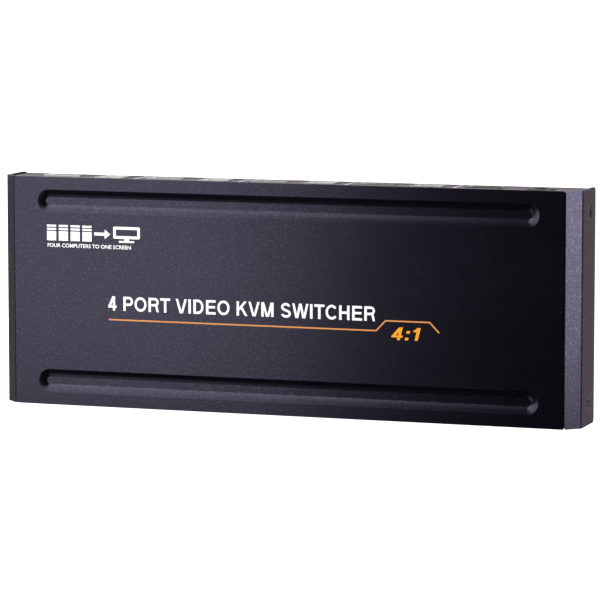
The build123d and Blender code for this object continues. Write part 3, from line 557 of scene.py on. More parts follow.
INSERT_BLACK = MouldedPlastic("insert_black_nylon", (0.016, 0.016, 0.018), 0.50)
INSERT_WHITE = MouldedPlastic("insert_white_nylon", (0.72, 0.72, 0.69), 0.48)
JACK_PLASTIC = MouldedPlastic("jack_black_plastic", (0.013, 0.013, 0.014), 0.34, coat=0.2)
BUTTON_PLASTIC = MouldedPlastic("button_cap_plastic", (0.055, 0.055, 0.058), 0.44, wear=0.5)
SWITCH_PLASTIC = MouldedPlastic("switch_body_plastic", (0.045, 0.045, 0.048), 0.55)
CHIP_EPOXY = MouldedPlastic("chip_epoxy", (0.02, 0.02, 0.021), 0.62)
PAD_SILICONE = MouldedPlastic("pad_silicone", (0.36, 0.38, 0.42), 0.75)
COIL_FERRITE = MouldedPlastic("coil_ferrite", (0.10, 0.10, 0.105), 0.60, grain=0.3 * MM, depth=0.015 * MM)
SINK_ANODISED = PlatedMetal("sink_anodised", (0.05, 0.05, 0.055), 0.42, tarnish=0.3)
CAN_ALUMINIUM = PlatedMetal("can_aluminium", (0.76, 0.76, 0.78), 0.30)
LAMP_BLUE = ClearLens("lamp_blue_lens", (0.30, 0.50, 0.80), 0.16, deep=(0.05, 0.10, 0.2))
LAMP_RED = ClearLens("lamp_red_lens", (0.80, 0.08, 0.05), 0.16, deep=(0.25, 0.01, 0.01))
REMOTE_WINDOW = ClearLens("remote_window_lens", (0.10, 0.010, 0.014), 0.10, deep=(0.01, 0.002, 0.003))
# the inks' glow values are painted light: the print emits its own colour
WHITE_INK = PrintedInk("white_ink", (0.90, 0.90, 0.90), 0.55, "ink_white", glow=0.45)
ORANGE_LINE_INK = PrintedInk("orange_line_ink", (0.80, 0.32, 0.085), 0.55, "ink_orange", glow=0.25)
ORANGE_TEXT_INK = PrintedInk("orange_text_ink", (0.93, 0.35, 0.006), 0.55, "ink_orange", glow=0.4)
FLOOR_PAPER = PaleFloor("floor_paper", (0.92, 0.92, 0.92), 0.9)

NODE_FINISHES: dict[str, Finish] = {
    "top_cover": LID_PAINT, "base_tray": TRAY_PAINT, "cover_screws": SCREW_BLACK_WITH_PAINTED_HIGHLIGHTS, "board_screws": SCREW_ZINC,
    "board_standoffs": SCREW_ZINC, "rubber_feet": FOOT_RUBBER, "main_board": BOARD_MASK,
    "power_jack_body": JACK_PLASTIC, "power_jack_pin": PIN_NICKEL, "switch_bodies": SWITCH_PLASTIC,
    "port_leds": LAMP_BLUE, "power_led": LAMP_RED, "led_holders": SWITCH_PLASTIC, "ir_window": REMOTE_WINDOW,
    "ir_receiver": CHIP_EPOXY, "switch_chip": CHIP_EPOXY, "thermal_pad": PAD_SILICONE,
    "heat_sink": SINK_ANODISED, "small_chips": CHIP_EPOXY, "capacitors": CAN_ALUMINIUM,
    "inductors": COIL_FERRITE, "crystal": CAN_ALUMINIUM, "select_button*": BUTTON_PLASTIC,
    "switch_plunger*": SWITCH_PLASTIC, "host_?_insert": INSERT_WHITE, "*_insert": INSERT_BLACK,
    "*_contacts": CONTACT_GOLD, "*_shell": SHELL_NICKEL,
}


def finish_of(node: str) -> Finish:
    """The finish of a CAD node, from the first pattern that its name matches."""
    return next(finish for pattern, finish in NODE_FINISHES.items() if fnmatchcase(node, pattern))


# ---- mesh tools
@dataclass(frozen=True)
class Face:
    """A flat face of the object that flat pieces are laid on, with its own two directions."""

    origin: Vector
    right: Vector
    up: Vector

    @property
    def out(self) -> Vector:
        """The face's outward normal."""
        return self.right.cross(self.up)

    def point(self, x: float, y: float, lift: float = 0.0) -> Vector:
        """A point at x and y on the face, in metres, lifted off it."""
        return self.origin + self.right * x + self.up * y + self.out * lift


class FlatWork:
    """Collects flat, thin shapes laid on one face into one mesh."""

    def __init__(self, face: Face) -> None:
        """Start an empty piece.

        Args:
            face: What the shapes lie on.
        """
        self.face = face
        self.high = INK_THICKNESS
        self.mesh = bmesh.new()

    def _ring_of(self, outline: list[Point], lift: float) -> list[bmesh.types.BMVert]:
        """Vertices along an outline given in millimetres."""
        return [self.mesh.verts.new(self.face.point(x * MM, y * MM, lift)) for x, y in outline]

    def slab(self, outline: list[Point]) -> None:
        """Add a filled shape.

        Args:
            outline: Its corners anticlockwise, in millimetres on the face.
        """
        low = self._ring_of(outline, 0.0)
        high = self._ring_of(outline, self.high)
        self.high += STROKE_STEP
        self.mesh.faces.new(high)
        self.mesh.faces.new(low[::-1])
        self._wall(low, high)

    def ring(self, outer: list[Point], inner: list[Point]) -> None:
        """Add a shape with a hole, its two outlines with as many corners each.

        Args:
            outer: Outer outline anticlockwise, in millimetres.
            inner: Inner outline anticlockwise, in millimetres.
        """
        loops = [self._ring_of(outline, lift) for outline in (outer, inner) for lift in (0.0, self.high)]
        outer_low, outer_high, inner_low, inner_high = loops
        self._wall(outer_low, outer_high)
        self._wall(inner_high, inner_low)
        self._wall(outer_high, inner_high)
        self._wall(inner_low, outer_low)

    def _wall(self, first: list[bmesh.types.BMVert], second: list[bmesh.types.BMVert]) -> None:
        """Join two loops of vertices with quads.

        Args:
            first: One loop.
            second: The other, with as many vertices.
        """
        count = len(first)
        for i in range(count):
            j = (i + 1) % count
            self.mesh.faces.new((first[i], first[j], second[j], second[i]))

    def bar(self, x0: float, y0: float, x1: float, y1: float) -> None:
        """Add a rectangle between two corners, in millimetres."""
        self.slab([(x0, y0), (x1, y0), (x1, y1), (x0, y1)])

    def line(self, points: list[Point], width: float) -> None:
        """Add a line of even width with mitred corners, in millimetres."""
        self.slab(thick_line(points, width))

    def hoop(self, x: float, y: float, inner: float, outer: float, start: int, step: int, count: int) -> None:
        """Add part of a round ring.

        Args:
            x: Its middle along the face, in millimetres.
            y: Its middle up the face, in millimetres.
            inner: Inner radius in millimetres.
            outer: Outer radius in millimetres.
            start: First angle in degrees.
            step: Degrees from one corner to the next.
            count: Corners along each radius.
        """
        turns = [math.radians(start + step * i) for i in range(count)]
        rims = [[(x + radius * math.cos(turn), y + radius * math.sin(turn)) for turn in turns]
                for radius in (outer, inner)]
        self.slab(rims[0] + rims[1][::-1])

    def finish(self, name: str, finish: Finish) -> bpy.types.Object:
        """Turn the shapes into a piece of this name and finish, which rides on the case."""
        return make_piece(name, self.mesh, finish)


def link_object(name: str, data: bpy.types.ID) -> bpy.types.Object:
    """Make an object of some data and link it to the scene.

    Args:
        name: The object's name.
        data: Its mesh, lamp, camera or curve.

    Returns:
        The object.
    """
    made = bpy.data.objects.new(name, data)
    bpy.context.scene.collection.objects.link(made)
    return made


def make_piece(name: str, mesh: bmesh.types.BMesh, finish: Finish, body: str = CASE,
               smooth: bool = False) -> bpy.types.Object:
    """Turn a mesh in the row frame into a piece that rides on a body.

    Args:
        name: The piece's name.
        mesh: Its faces, in metres. It is freed here.
        finish: Its finish.
        body: The CAD body it rides on.
        smooth: Whether its faces are shaded smooth up to sharp corners.

    Returns:
        The piece.
    """
    bmesh.ops.recalc_face_normals(mesh, faces=mesh.faces)
    data = bpy.data.meshes.new(name)
    mesh.to_mesh(data)
    mesh.free()
    if smooth:
        data.shade_smooth()
        data.set_sharp_from_angle(angle=SHARP_ANGLE)
    data.materials.append(finish.material())
    piece = link_object(name, data)
    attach(piece, body)
    LOG.info("piece %s: %d faces on %s", name, len(data.polygons), body)
    return piece


def thick_line(points: list[Point], width: float) -> list[Point]:
    """Outline of a line of even width with mitred corners.

    Args:
        points: Its corners in order.
        width: Its width.

    Returns:
        The outline, anticlockwise.
    """
    left, right = [], []
    for i, point in enumerate(points):
        here = Vector(point)
        before = (here - Vector(points[i - 1])).normalized() if i else None
        after = (Vector(points[i + 1]) - here).normalized() if i < len(points) - 1 else None
        along = ((before or after) + (after or before)).normalized()
        side = Vector((-along.y, along.x))
        reach = width / 2 / max(MITRE_LIMIT, along.dot(after or before))
        left.append(tuple(here + side * reach))
        right.append(tuple(here - side * reach))
    return right + left[::-1]


def rounded(cx: float, cy: float, width: float, height: float, corner: float, steps: int = 5) -> list[Point]:
    """Outline of a rectangle with round corners.

    Args:
        cx: Middle along x.
        cy: Middle along y.
        width: Full width.
        height: Full height.
        corner: Corner radius.
        steps: Points along each corner, less one.

    Returns:
        Its points anticlockwise.
    """
    points = []
    for quarter, (sx, sy) in enumerate(((1, 1), (-1, 1), (-1, -1), (1, -1))):
        mx = cx + sx * (width / 2 - corner)
        my = cy + sy * (height / 2 - corner)
        for step in range(steps + 1):
            angle = math.pi / 2 * (quarter + step / steps)
            points.append((mx + corner * math.cos(angle), my + corner * math.sin(angle)))
    return points


def arc(cx: float, cy: float, rx: float, ry: float, start: float, end: float, steps: int = 14) -> list[Point]:
    """Points along an ellipse's arc, from one angle in degrees to another, either way round."""
    turns = (math.radians(start + (end - start) * step / steps) for step in range(steps + 1))
    return [(cx + rx * math.cos(turn), cy + ry * math.sin(turn)) for turn in turns]


@dataclass(frozen=True)
class Glyph:
    """One bold capital or digit, drawn for a cap height of 1.

    Bars are rectangles, beams are slanted strokes with level ends, and curves are strokes along points.
    """

    advance: float
    bars: tuple[tuple[float, float, float, float], ...] = ()
    beams: tuple[tuple[float, float, float, float], ...] = ()
    curves: tuple[tuple[Point, ...], ...] = ()


STEM = (0.10, 0.0, 0.29, 1.0)
P_BOWL = ((0.25, 0.915), *arc(0.56, 0.68, 0.225, 0.235, 90, -90), (0.25, 0.445))
R_BOWL = ((0.25, 0.915), *arc(0.60, 0.70, 0.225, 0.215, 90, -90), (0.25, 0.485))
D_BOWL = ((0.25, 0.915), *arc(0.47, 0.5, 0.34, 0.415, 90, -90), (0.25, 0.085))
S_SPINE = (*arc(0.46, 0.725, 0.28, 0.20, 15, 250), *arc(0.47, 0.275, 0.30, 0.20, 70, -168))
O_HALVES = tuple(tuple(arc(0.54, 0.5, 0.39, 0.425, start, start + 179.9, 18)) for start in (90, -90))
GLYPHS: dict[str, Glyph] = {
    " ": Glyph(0.39),
    ":": Glyph(0.46, bars=((0.12, 0.0, 0.33, 0.21), (0.12, 0.53, 0.33, 0.74))),
    "1": Glyph(0.70, ((0.27, 0.0, 0.46, 1.0), (0.06, 0.66, 0.27, 0.81)), ((0.19, 0.70, 0.36, 1.0),)),
    "4": Glyph(0.77, ((0.42, 0.0, 0.60, 1.0), (0.04, 0.20, 0.72, 0.36)), ((0.14, 0.28, 0.48, 1.0),)),
    "C": Glyph(1.0, curves=(tuple(arc(0.53, 0.5, 0.385, 0.425, 40, 320, 24)),)),
    "D": Glyph(1.0, bars=(STEM,), curves=(D_BOWL,)),
    "E": Glyph(0.93, bars=(STEM, (0.29, 0.0, 0.86, 0.17), (0.29, 0.83, 0.85, 1.0), (0.29, 0.43, 0.81, 0.59))),
    "H": Glyph(1.0, bars=(STEM, (0.71, 0.0, 0.90, 1.0), (0.29, 0.42, 0.71, 0.59))),
    "I": Glyph(0.39, bars=(STEM,)),
    "K": Glyph(1.0, bars=(STEM,), beams=((0.26, 0.40, 0.79, 1.0), (0.85, 0.0, 0.46, 0.60))),
    "M": Glyph(1.16, (STEM, (0.87, 0.0, 1.06, 1.0)), ((0.55, 0.0, 0.235, 1.0), (0.61, 0.0, 0.925, 1.0))),
    "O": Glyph(1.08, curves=O_HALVES),
    "P": Glyph(0.93, bars=(STEM,), curves=(P_BOWL,)),
    "R": Glyph(1.0, bars=(STEM,), beams=((0.83, 0.0, 0.72, 0.45),), curves=(R_BOWL,)),
    "S": Glyph(0.93, curves=(S_SPINE,)),
    "T": Glyph(0.85, bars=((0.03, 0.83, 0.82, 1.0), (0.33, 0.0, 0.52, 0.83))),
    "V": Glyph(0.93, beams=((0.43, 0.0, 0.115, 1.0), (0.50, 0.0, 0.815, 1.0))),
    "W": Glyph(1.31, beams=((0.36, 0.0, 0.115, 1.0), (0.41, 0.0, 0.64, 1.0), (0.90, 0.0, 0.67, 1.0),
                            (0.95, 0.0, 1.195, 1.0))),
}


@dataclass(frozen=True)
class BoldWords:
    """A line of bold capitals laid on a face, sized by its own width and cap height."""

    words: str
    left: float
    base: float
    width: float
    height: float
    slant: float = 0.0
    stroke: float = 0.17

    def piece(self, name: str, face: Face, finish: Finish) -> bpy.types.Object:
        """Make the lettering as a thin mesh.

        Args:
            name: The piece's name.
            face: The face that it is printed on.
            finish: Its ink.

        Returns:
            The piece.
        """
        glyphs = [GLYPHS[letter] for letter in self.words]
        stretch = self.width / (sum(glyph.advance for glyph in glyphs) * self.height)
        work = FlatWork(face)
        start = 0.0
        for glyph in glyphs:
            for outline in self.outlines(glyph):
                work.slab([(self.left + ((start + x) * stretch + self.slant * y) * self.height,
                            self.base + y * self.height) for x, y in outline])
            start += glyph.advance
        return work.finish(name, finish)

    def outlines(self, glyph: Glyph) -> list[list[Point]]:
        """Outlines of a glyph's strokes, for a cap height of 1.

        Args:
            glyph: The glyph.

        Returns:
            One closed outline for each stroke.
        """
        found = [[(x0, y0), (x1, y0), (x1, y1), (x0, y1)] for x0, y0, x1, y1 in glyph.bars]
        for x0, y0, x1, y1 in glyph.beams:
            half = self.stroke / 2 * math.hypot(1.0, (x1 - x0) / (y1 - y0))
            found.append([(x0 - half, y0), (x0 + half, y0), (x1 + half, y1), (x1 - half, y1)])
        found.extend(thick_line(list(points), self.stroke) for points in glyph.curves)
        return found


@dataclass(frozen=True)
class SmallWords:
    """A line of small lettering laid on a face, set about its middle; a width of 0 keeps the font's own."""

    words: str
    middle: float
    base: float
    height: float
    width: float = 0.0
    weight: float = 0.0

    def piece(self, name: str, face: Face, finish: Finish) -> bpy.types.Object:
        """Make the lettering as a thin mesh.

        Args:
            name: The piece's name.
            face: The face that it is printed on.
            finish: Its ink.

        Returns:
            The piece.
        """
        curve = bpy.data.curves.new(name, "FONT")
        curve.body = self.words
        curve.size = 1.0
        curve.offset = self.weight
        curve.resolution_u = CURVE_STEPS
        curve.extrude = HALF_EXTRUDE
        draft = link_object(name, curve)
        shapes = bpy.context.evaluated_depsgraph_get()
        data = bpy.data.meshes.new_from_object(draft.evaluated_get(shapes))
        bpy.data.objects.remove(draft)
        mesh = bmesh.new()
        mesh.from_mesh(data)
        bpy.data.meshes.remove(data)
        bmesh.ops.remove_doubles(mesh, verts=mesh.verts, dist=WELD)
        xs = [vertex.co.x for vertex in mesh.verts]
        ys = [vertex.co.y for vertex in mesh.verts]
        centre = (max(xs) + min(xs)) / 2
        y_scale = self.height * MM / (max(ys) - min(ys))
        x_scale = self.width * MM / (max(xs) - min(xs)) if self.width else y_scale
        for vertex in mesh.verts:
            vertex.co = face.point(self.middle * MM + (vertex.co.x - centre) * x_scale,
                                   self.base * MM + (vertex.co.y - min(ys)) * y_scale,
                                   (vertex.co.z + HALF_EXTRUDE) * INK_THICKNESS)
        return make_piece(name, mesh, finish)


# ---- printing
def middle(node: str) -> Vector:
    """Middle of a CAD node's box, in metres."""
    low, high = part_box(node)
    return (low + high) / 2


@dataclass
class LidPrinting:
    """White and orange printing on the lid."""

    emblem_left: float = -98.1
    emblem_right: float = -58.9
    emblem_base: float = 20.0
    emblem_top: float = 26.2
    towers: int = 4
    tower_pitch: float = 5.0
    tower_width: float = 3.9
    slots: int = 2
    slot_height: float = 0.8
    slot_gap: float = 0.45
    arrow_half: float = 0.6
    arrow_head: Point = (2.4, 1.9)
    arrow_gap: float = 1.2
    screen_width: float = 11.2
    screen_rim: float = 1.1
    screen_corners: Point = (0.6, 0.2)
    stand_height: float = 1.5
    stand_half: float = 1.0
    foot_half: float = 3.2
    foot_height: float = 0.7
    title: BoldWords = BoldWords("4 PORT VIDEO KVM SWITCHER", -72.6, -6.75, 110.4, 5.6)
    ratio: BoldWords = BoldWords("4:1", 43.4, -13.6, 12.6, 4.9, slant=0.25, stroke=0.2)
    caption: SmallWords = SmallWords("FOUR COMPUTERS TO ONE SCREEN", -80.3, 17.4, 1.5, 35.2, weight=0.02)
    accent: tuple[Point, ...] = ((-72.1, -10.35), (37.8, -10.35), (41.6, -6.4), (59.2, -6.4), (63.0, -10.35))
    accent_width: float = 0.55
    face: Face = field(init=False)

    def __post_init__(self) -> None:
        """Lay the face on the lid's top plate."""
        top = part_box("top_cover")[1].z
        self.face = Face(Vector((0, 0, top)), Vector((1, 0, 0)), Vector((0, 1, 0)))

    def build(self) -> None:
        """Print the emblem and its caption, the title, the accent line and the ratio."""
        self.emblem()
        self.caption.piece("lid_caption", self.face, WHITE_INK)
        self.title.piece("lid_title", self.face, WHITE_INK)
        accent = FlatWork(self.face)
        accent.line(list(self.accent), self.accent_width)
        accent.finish("lid_accent_line", ORANGE_LINE_INK)
        self.ratio.piece("lid_ratio", self.face, ORANGE_TEXT_INK)

    def emblem(self) -> None:
        """Four computers, an arrow and a screen on its stand."""
        work = FlatWork(self.face)
        low = self.emblem_base
        high = self.emblem_top
        slot_step = self.slot_height + self.slot_gap
        for i in range(self.towers):
            left = self.emblem_left + i * self.tower_pitch
            right = left + self.tower_width
            work.bar(left, low, right, high - self.slots * slot_step)
            for row in range(self.slots):
                top = high - row * slot_step
                work.bar(left, top - self.slot_height, right, top)
        middle_y = (low + high) / 2
        start = self.emblem_left + self.towers * self.tower_pitch
        tip = self.emblem_right - self.screen_width - self.arrow_gap
        head, head_half = tip - self.arrow_head[0], self.arrow_head[1]
        work.bar(start, middle_y - self.arrow_half, head, middle_y + self.arrow_half)
        work.slab([(head, middle_y - head_half), (tip, middle_y), (head, middle_y + head_half)])
        centre_x = self.emblem_right - self.screen_width / 2
        screen_height = high - low - self.stand_height
        centre_y = high - screen_height / 2
        rim = 2 * self.screen_rim
        outer_corner, inner_corner = self.screen_corners
        work.ring(rounded(centre_x, centre_y, self.screen_width, screen_height, outer_corner),
                  rounded(centre_x, centre_y, self.screen_width - rim, screen_height - rim, inner_corner))
        foot = low + self.foot_height
        work.bar(centre_x - self.stand_half, foot, centre_x + self.stand_half, high - screen_height)
        work.bar(centre_x - self.foot_half, low, centre_x + self.foot_half, foot)
        work.finish("lid_emblem", WHITE_INK)


@dataclass
class RearPrinting:
    """Dividing lines and numbers on the rear panel."""

    divider_width: float = 0.5
    divider_low: float = 5.5
    divider_high: float = 23.0
    digit_base: float = 20.2
    digit_height: float = 2.2
    bracket_gap: float = 2.3
    bracket_drop: float = 1.3
    bracket_width: float = 0.25
    sign_rise: float = 2.2
    sign_line: float = 0.12
    sign_dot: float = 0.35
    sign_ring: Point = (0.7, 0.95)
    sign_reach: float = 2.4
    plus_offset: float = 3.3
    plus_half: float = 0.55
    face: Face = field(init=False)

    def __post_init__(self) -> None:
        """Lay the face on the rear panel, seen from behind."""
        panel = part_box("base_tray")[1].y
        self.face = Face(Vector((0, panel, 0)), Vector((-1, 0, 0)), Vector((0, 0, 1)))

    def build(self) -> None:
        """Print a divider after each host socket and what each socket is."""
        dividers = FlatWork(self.face)
        following = ["video_in_2_shell", "video_in_3_shell", "video_in_4_shell", "video_out_shell"]
        for i, nearby in enumerate(following):
            x = -(middle(f"host_{i + 1}_shell").x + middle(nearby).x) / 2 / MM
            half = self.divider_width / 2
            dividers.bar(x - half, self.divider_low, x + half, self.divider_high)
        dividers.finish("rear_dividers", WHITE_INK)
        for i in range(4):
            self.number(i)
        out = -middle("video_out_shell").x / MM
        word = SmallWords("OUT", out, self.digit_base, self.digit_height)
        word.piece("rear_out_word", self.face, WHITE_INK)
        self.polarity()

    def number(self, index: int) -> None:
        """A channel number between its two sockets, with a bracket over them.

        Args:
            index: The channel, counted from 0.
        """
        video = -middle(f"video_in_{index + 1}_shell").x / MM
        host = -middle(f"host_{index + 1}_shell").x / MM
        mid = (video + host) / 2
        number = SmallWords(str(index + 1), mid, self.digit_base, self.digit_height)
        number.piece(f"rear_number_{index + 1}", self.face, WHITE_INK)
        bracket = FlatWork(self.face)
        high = self.digit_base + self.digit_height / 2
        for start, end in ((video, mid + self.bracket_gap), (host, mid - self.bracket_gap)):
            bracket.line([(start, high - self.bracket_drop), (start, high), (end, high)], self.bracket_width)
        bracket.finish(f"rear_bracket_{index + 1}", WHITE_INK)

    def polarity(self) -> None:
        """Power polarity sign over the jack: a centre dot in an open ring between two signs."""
        x = -middle("power_jack_body").x / MM
        y = self.digit_base + self.sign_rise
        line, dot = self.sign_line, 2 * self.sign_dot
        sign = FlatWork(self.face)
        sign.hoop(x, y, *self.sign_ring, start=30, step=10, count=31)
        sign.slab(rounded(x, y, dot, dot, self.sign_dot - DOT_SHY))
        sign.bar(x + self.sign_dot, y - line, x + self.sign_reach, y + line)
        sign.bar(x - self.sign_reach, y - line, x - self.sign_ring[1], y + line)
        for cx in (x - self.plus_offset, x + self.plus_offset):
            sign.bar(cx - self.plus_half, y - line, cx + self.plus_half, y + line)
        for low, high in ((line, self.plus_half), (-self.plus_half, -line)):
            sign.bar(x + self.plus_offset - line, y + low, x + self.plus_offset + line, y + high)
        sign.finish("rear_polarity_sign", WHITE_INK)


@dataclass(frozen=True)
class DeviceSign:
    """A small sign: an outline with its width, height and corner radius, and bars, all in millimetres."""

    outer: tuple[float, float, float]
    inner: tuple[float, float, float]
    bars: tuple[tuple[float, float, float, float], ...]
    rise: float = 0.0


KEYS = tuple((0.9 * key - 2.05, high - 0.13, 0.9 * key - 1.55, high + 0.13)
             for high in (0.45, -0.05) for key in range(5))
KEYBOARD_SIGN = DeviceSign((5.4, 2.4, 0.4), (4.9, 1.9, 0.2), (*KEYS, (-1.3, -0.68, 1.3, -0.42)))
MOUSE_SIGN = DeviceSign((1.8, 2.6, 0.88), (1.35, 2.15, 0.65), ((-0.11, 0.25, 0.11, 1.07),))
PLUG_PINS = tuple((side - 0.12, 0.6, side + 0.12, 1.25) for side in (-0.5, 0.5))
PLUG_SIGN = DeviceSign((2.4, 1.8, 0.25), (1.95, 1.35, 0.1), PLUG_PINS, rise=-0.3)


@dataclass
class FrontPrinting:
    """Numbers and small signs on the front panel."""

    digit_base: float = 18.0
    digit_height: float = 2.4
    sign_base: float = 18.2
    power_rise: float = 1.0
    power_ring: Point = (0.95, 1.25)
    power_bar: tuple[float, float, float, float] = (-0.15, 0.2, 0.15, 1.5)
    remote_rise: float = 0.1
    remote_radii: tuple[float, ...] = (0.9, 1.6, 2.3)
    remote_half: float = 0.12
    remote_dot: float = 0.5
    remote_dot_rise: float = 0.2
    device_rise: float = 1.2
    device_signs: tuple[DeviceSign, ...] = (KEYBOARD_SIGN, MOUSE_SIGN, PLUG_SIGN, PLUG_SIGN)
    face: Face = field(init=False)

    def __post_init__(self) -> None:
        """Lay the face on the front panel."""
        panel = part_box("base_tray")[0].y
        self.face = Face(Vector((0, panel, 0)), Vector((1, 0, 0)), Vector((0, 0, 1)))

    def build(self) -> None:
        """Print the channel numbers, the power and remote signs and the device signs."""
        for i in range(4):
            x = middle(f"select_button_{i + 1}").x / MM
            number = SmallWords(str(i + 1), x, self.digit_base, self.digit_height)
            number.piece(f"front_number_{i + 1}", self.face, WHITE_INK)
        self.power_sign()
        self.remote_sign()
        for i in range(len(self.device_signs)):
            self.device_sign(i)

    def power_sign(self) -> None:
        """An open ring with a bar in its gap, over the power lamp."""
        x = middle("power_led").x / MM
        y = self.sign_base + self.power_rise
        sign = FlatWork(self.face)
        sign.hoop(x, y, *self.power_ring, start=125, step=10, count=30)
        x0, y0, x1, y1 = self.power_bar
        sign.bar(x + x0, y + y0, x + x1, y + y1)
        sign.finish("front_power_sign", WHITE_INK)

    def remote_sign(self) -> None:
        """Three arcs and a dot over the remote window."""
        x = middle("ir_window").x / MM
        y = self.sign_base + self.remote_rise
        dot = self.remote_dot
        sign = FlatWork(self.face)
        sign.slab(rounded(x, y + self.remote_dot_rise, dot, dot, dot / 2 - DOT_SHY))
        for radius in self.remote_radii:
            sign.hoop(x, y, radius - self.remote_half, radius + self.remote_half, start=45, step=9, count=11)
        sign.finish("front_remote_sign", WHITE_INK)

    def device_sign(self, index: int) -> None:
        """What a device socket is for, over it.

        Args:
            index: The socket, counted from 0.
        """
        x = middle(f"device_{index + 1}_shell").x / MM
        y = self.sign_base + self.device_rise
        shape = self.device_signs[index]
        sign = FlatWork(self.face)
        sign.ring(*(rounded(x, y + shape.rise, *sizes) for sizes in (shape.outer, shape.inner)))
        for x0, y0, x1, y1 in shape.bars:
            sign.bar(x + x0, y + y0, x + x1, y + y1)
        sign.finish(f"front_device_sign_{index + 1}", WHITE_INK)


# ---- socket details
@dataclass
class SpringLeaves:
    """Bent steel leaves inside the mouths of the sockets, which grip a plug's shell."""

    thickness: float = 0.15
    length: float = 5.2
    width: float = 1.7
    taper: float = 0.25
    start_back: float = 1.2
    bend: float = 0.42
    steps: int = 12
    video_offsets: Point = (-3.4, 3.4)
    device_offsets: Point = (-3.1, 3.1)
    host_mouth_width: float = 8.45
    host_start_back: float = 1.6

    def build(self) -> None:
        """Add the leaves to every video, device and host socket."""
        for port in ("video_in_1", "video_in_2", "video_in_3", "video_in_4", "video_out"):
            self.grip(port, self.video_offsets, 1.0)
        for i in range(4):
            self.grip(f"device_{i + 1}", self.device_offsets, -1.0)
        for i in range(4):
            self.sides(f"host_{i + 1}")

    def strip(self, mesh: bmesh.types.BMesh, root: Vector, inwards: Vector, into: Vector,
              across: Vector) -> None:
        """Add one leaf: a strip that bows inwards between its two ends.

        Args:
            mesh: Mesh that takes it.
            root: Middle of its outer end, on the shell's inner wall.
            inwards: Direction away from the wall.
            into: Direction into the socket.
            across: Direction of its width.
        """
        rows = []
        for step in range(self.steps + 1):
            share = step / self.steps
            bow = self.bend * math.sin(math.pi * share) ** 1.5
            half = self.width / 2 * (1.0 - self.taper * share) * MM
            centre = root + into * (self.length * share * MM) + inwards * (bow * MM)
            thick = inwards * (self.thickness * MM)
            rows.append([mesh.verts.new(centre - across * half), mesh.verts.new(centre + across * half),
                         mesh.verts.new(centre + across * half + thick),
                         mesh.verts.new(centre - across * half + thick)])
        for before, after in zip(rows, rows[1:]):
            for i in range(4):
                j = (i + 1) % 4
                mesh.faces.new((before[i], before[j], after[j], after[i]))
        mesh.faces.new(rows[0][::-1])
        mesh.faces.new(rows[-1])

    def grip(self, port: str, offsets: Point, facing: float) -> None:
        """Leaves on the floor of a wide socket.

        Args:
            port: The socket's name.
            offsets: Offsets of the leaves from its middle, in millimetres.
            facing: 1 where its mouth faces the rear, -1 where it faces the front.
        """
        low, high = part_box(f"{port}_shell")
        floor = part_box(f"{port}_insert")[0].z
        mouth = high.y if facing > 0 else low.y
        mesh = bmesh.new()
        for offset in offsets:
            root = Vector(((low.x + high.x) / 2 + offset * MM, mouth - facing * self.start_back * MM, floor))
            self.strip(mesh, root, Vector((0, 0, 1)), Vector((0, -facing, 0)), Vector((1, 0, 0)))
        make_piece(f"{port}_leaves", mesh, LEAF_STEEL, smooth=True)

    def sides(self, port: str) -> None:
        """Leaves on both side walls of a square socket's mouth.

        Args:
            port: The socket's name.
        """
        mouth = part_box(f"{port}_shell")[1].y
        half = self.host_mouth_width / 2 * MM
        mesh = bmesh.new()
        for side in (-1, 1):
            root = Vector((middle(f"{port}_shell").x + side * half, mouth - self.host_start_back * MM,
                           middle(f"{port}_insert").z))
            self.strip(mesh, root, Vector((-side, 0, 0)), Vector((0, -1, 0)), Vector((0, 0, 1)))
        make_piece(f"{port}_leaves", mesh, LEAF_STEEL, smooth=True)


# ---- studio
@dataclass
class Camera:
    """The camera: where it aims, from where, and its lens."""

    yaw: float = 0.33536
    pitch: float = 0.11293
    distance: float = 1.40065
    aim: Vector = field(default_factory=lambda: Vector((0.00708, 0.00027, 0.0260)))
    lens: float = 218.91
    sensor: float = 36.0
    clip: Point = (0.05, 50.0)

    def build(self) -> None:
        """Create the camera and make it the scene's."""
        side, back_share = math.sin(self.yaw), math.cos(self.yaw)
        right = Vector((back_share, 0.0, -side))
        back = Vector((side * math.cos(self.pitch), math.sin(self.pitch), back_share * math.cos(self.pitch)))
        up = back.cross(right)
        turn = Matrix((right, up, back)).transposed().to_4x4()
        turn.translation = self.aim + back * self.distance
        data = bpy.data.cameras.new("camera")
        data.lens = self.lens
        data.sensor_width = self.sensor
        data.clip_start, data.clip_end = self.clip
        camera = link_object("camera", data)
        camera.matrix_world = turn
        bpy.context.scene.camera = camera


@dataclass(frozen=True)
class Softbox:
    """A rectangular lamp that faces a point."""

    name: str
    place: tuple[float, float, float]
    width: float
    height: float
    brightness: float
    aim: tuple[float, float, float] = (0.0, 0.0, 0.0)

    def build(self) -> None:
        """Create the lamp."""
        data = bpy.data.lights.new(self.name, "AREA")
        data.shape = "RECTANGLE"
        data.size = self.width
        data.size_y = self.height
        data.energy = self.brightness * math.pi * self.width * self.height
        lamp = link_object(self.name, data)
        lamp.location = self.place
        facing = Vector(self.place) - Vector(self.aim)
        lamp.rotation_euler = facing.to_track_quat("Z", "Y").to_euler()


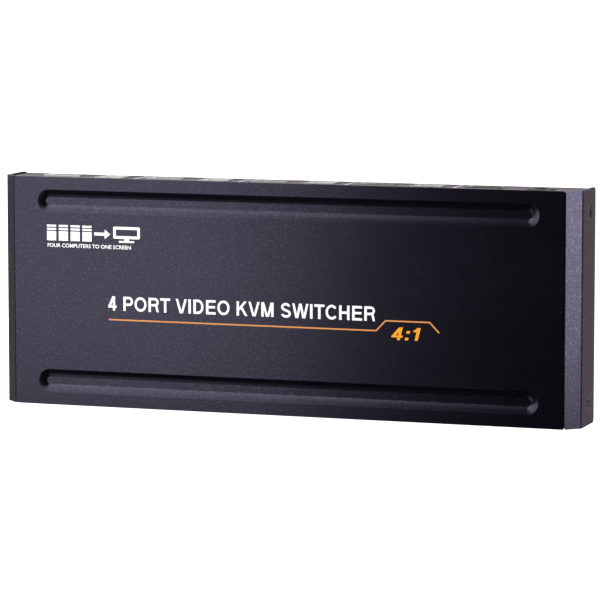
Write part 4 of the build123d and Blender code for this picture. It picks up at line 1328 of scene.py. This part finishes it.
@dataclass
class Studio:
    """The pale floor, the lamps around it and the dim room."""

    floor_half: float = 4.0
    room: RGB = (0.012, 0.012, 0.013)
    softboxes: tuple[Softbox, ...] = (
        Softbox("left_overhead", (-0.49, 0.02, 0.42), 0.73, 0.28, 2.5, aim=(-0.49, 0.02, 0.0)),
        Softbox("left_overhead_rear", (-0.51, 0.33, 0.42), 0.73, 0.34, 3.1, aim=(-0.51, 0.33, 0.0)),
        Softbox("rear_left", (-0.60, 0.64, 0.34), 0.76, 0.40, 3.3, aim=(-0.60, 0.0, 0.0)),
        Softbox("right_near", (0.82, 0.24, 0.28), 0.72, 0.30, 8.6, aim=(0.1, 0.24, 0.02)),
        Softbox("front_left", (-0.70, -0.70, 0.28), 0.80, 0.40, 0.9, aim=(-0.3, 0.0, 0.0)),
        Softbox("front_right", (0.95, -1.30, 0.50), 1.10, 0.60, 2.2),
    )

    def build(self) -> None:
        """Create the floor, the lamps and the room."""
        mesh = bmesh.new()
        bmesh.ops.create_grid(mesh, x_segments=4, y_segments=4, size=self.floor_half)
        data = bpy.data.meshes.new("studio_floor")
        mesh.to_mesh(data)
        mesh.free()
        data.materials.append(FLOOR_PAPER.material())
        link_object("studio_floor", data)
        for softbox in self.softboxes:
            softbox.build()
        world = bpy.data.worlds.new("dim_room")
        world.use_nodes = True
        background = world.node_tree.nodes["Background"].inputs
        background["Color"].default_value = (*self.room, 1.0)
        background["Strength"].default_value = 1.0
        bpy.context.scene.world = world
        bpy.context.scene.view_settings.view_transform = "Standard"


# ---- the whole
class Case:
    """Dresses every CAD node in its finish."""

    def build(self) -> None:
        """Give each CAD node its material."""
        for name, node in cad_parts.items():
            node.data.materials.clear()
            node.data.materials.append(finish_of(name).material())
            LOG.info("node %s: %s", name, finish_of(name).name)


def main() -> None:
    """Build the studio and every piece in order."""
    logging.basicConfig(level=logging.INFO, format="%(name)s: %(message)s")
    for part in (Camera(), Studio(), Case(), LidPrinting(), RearPrinting(), FrontPrinting(), SpringLeaves()):
        LOG.info("building %s", type(part).__name__)
        part.build()


if __name__ == "__main__":
    main()
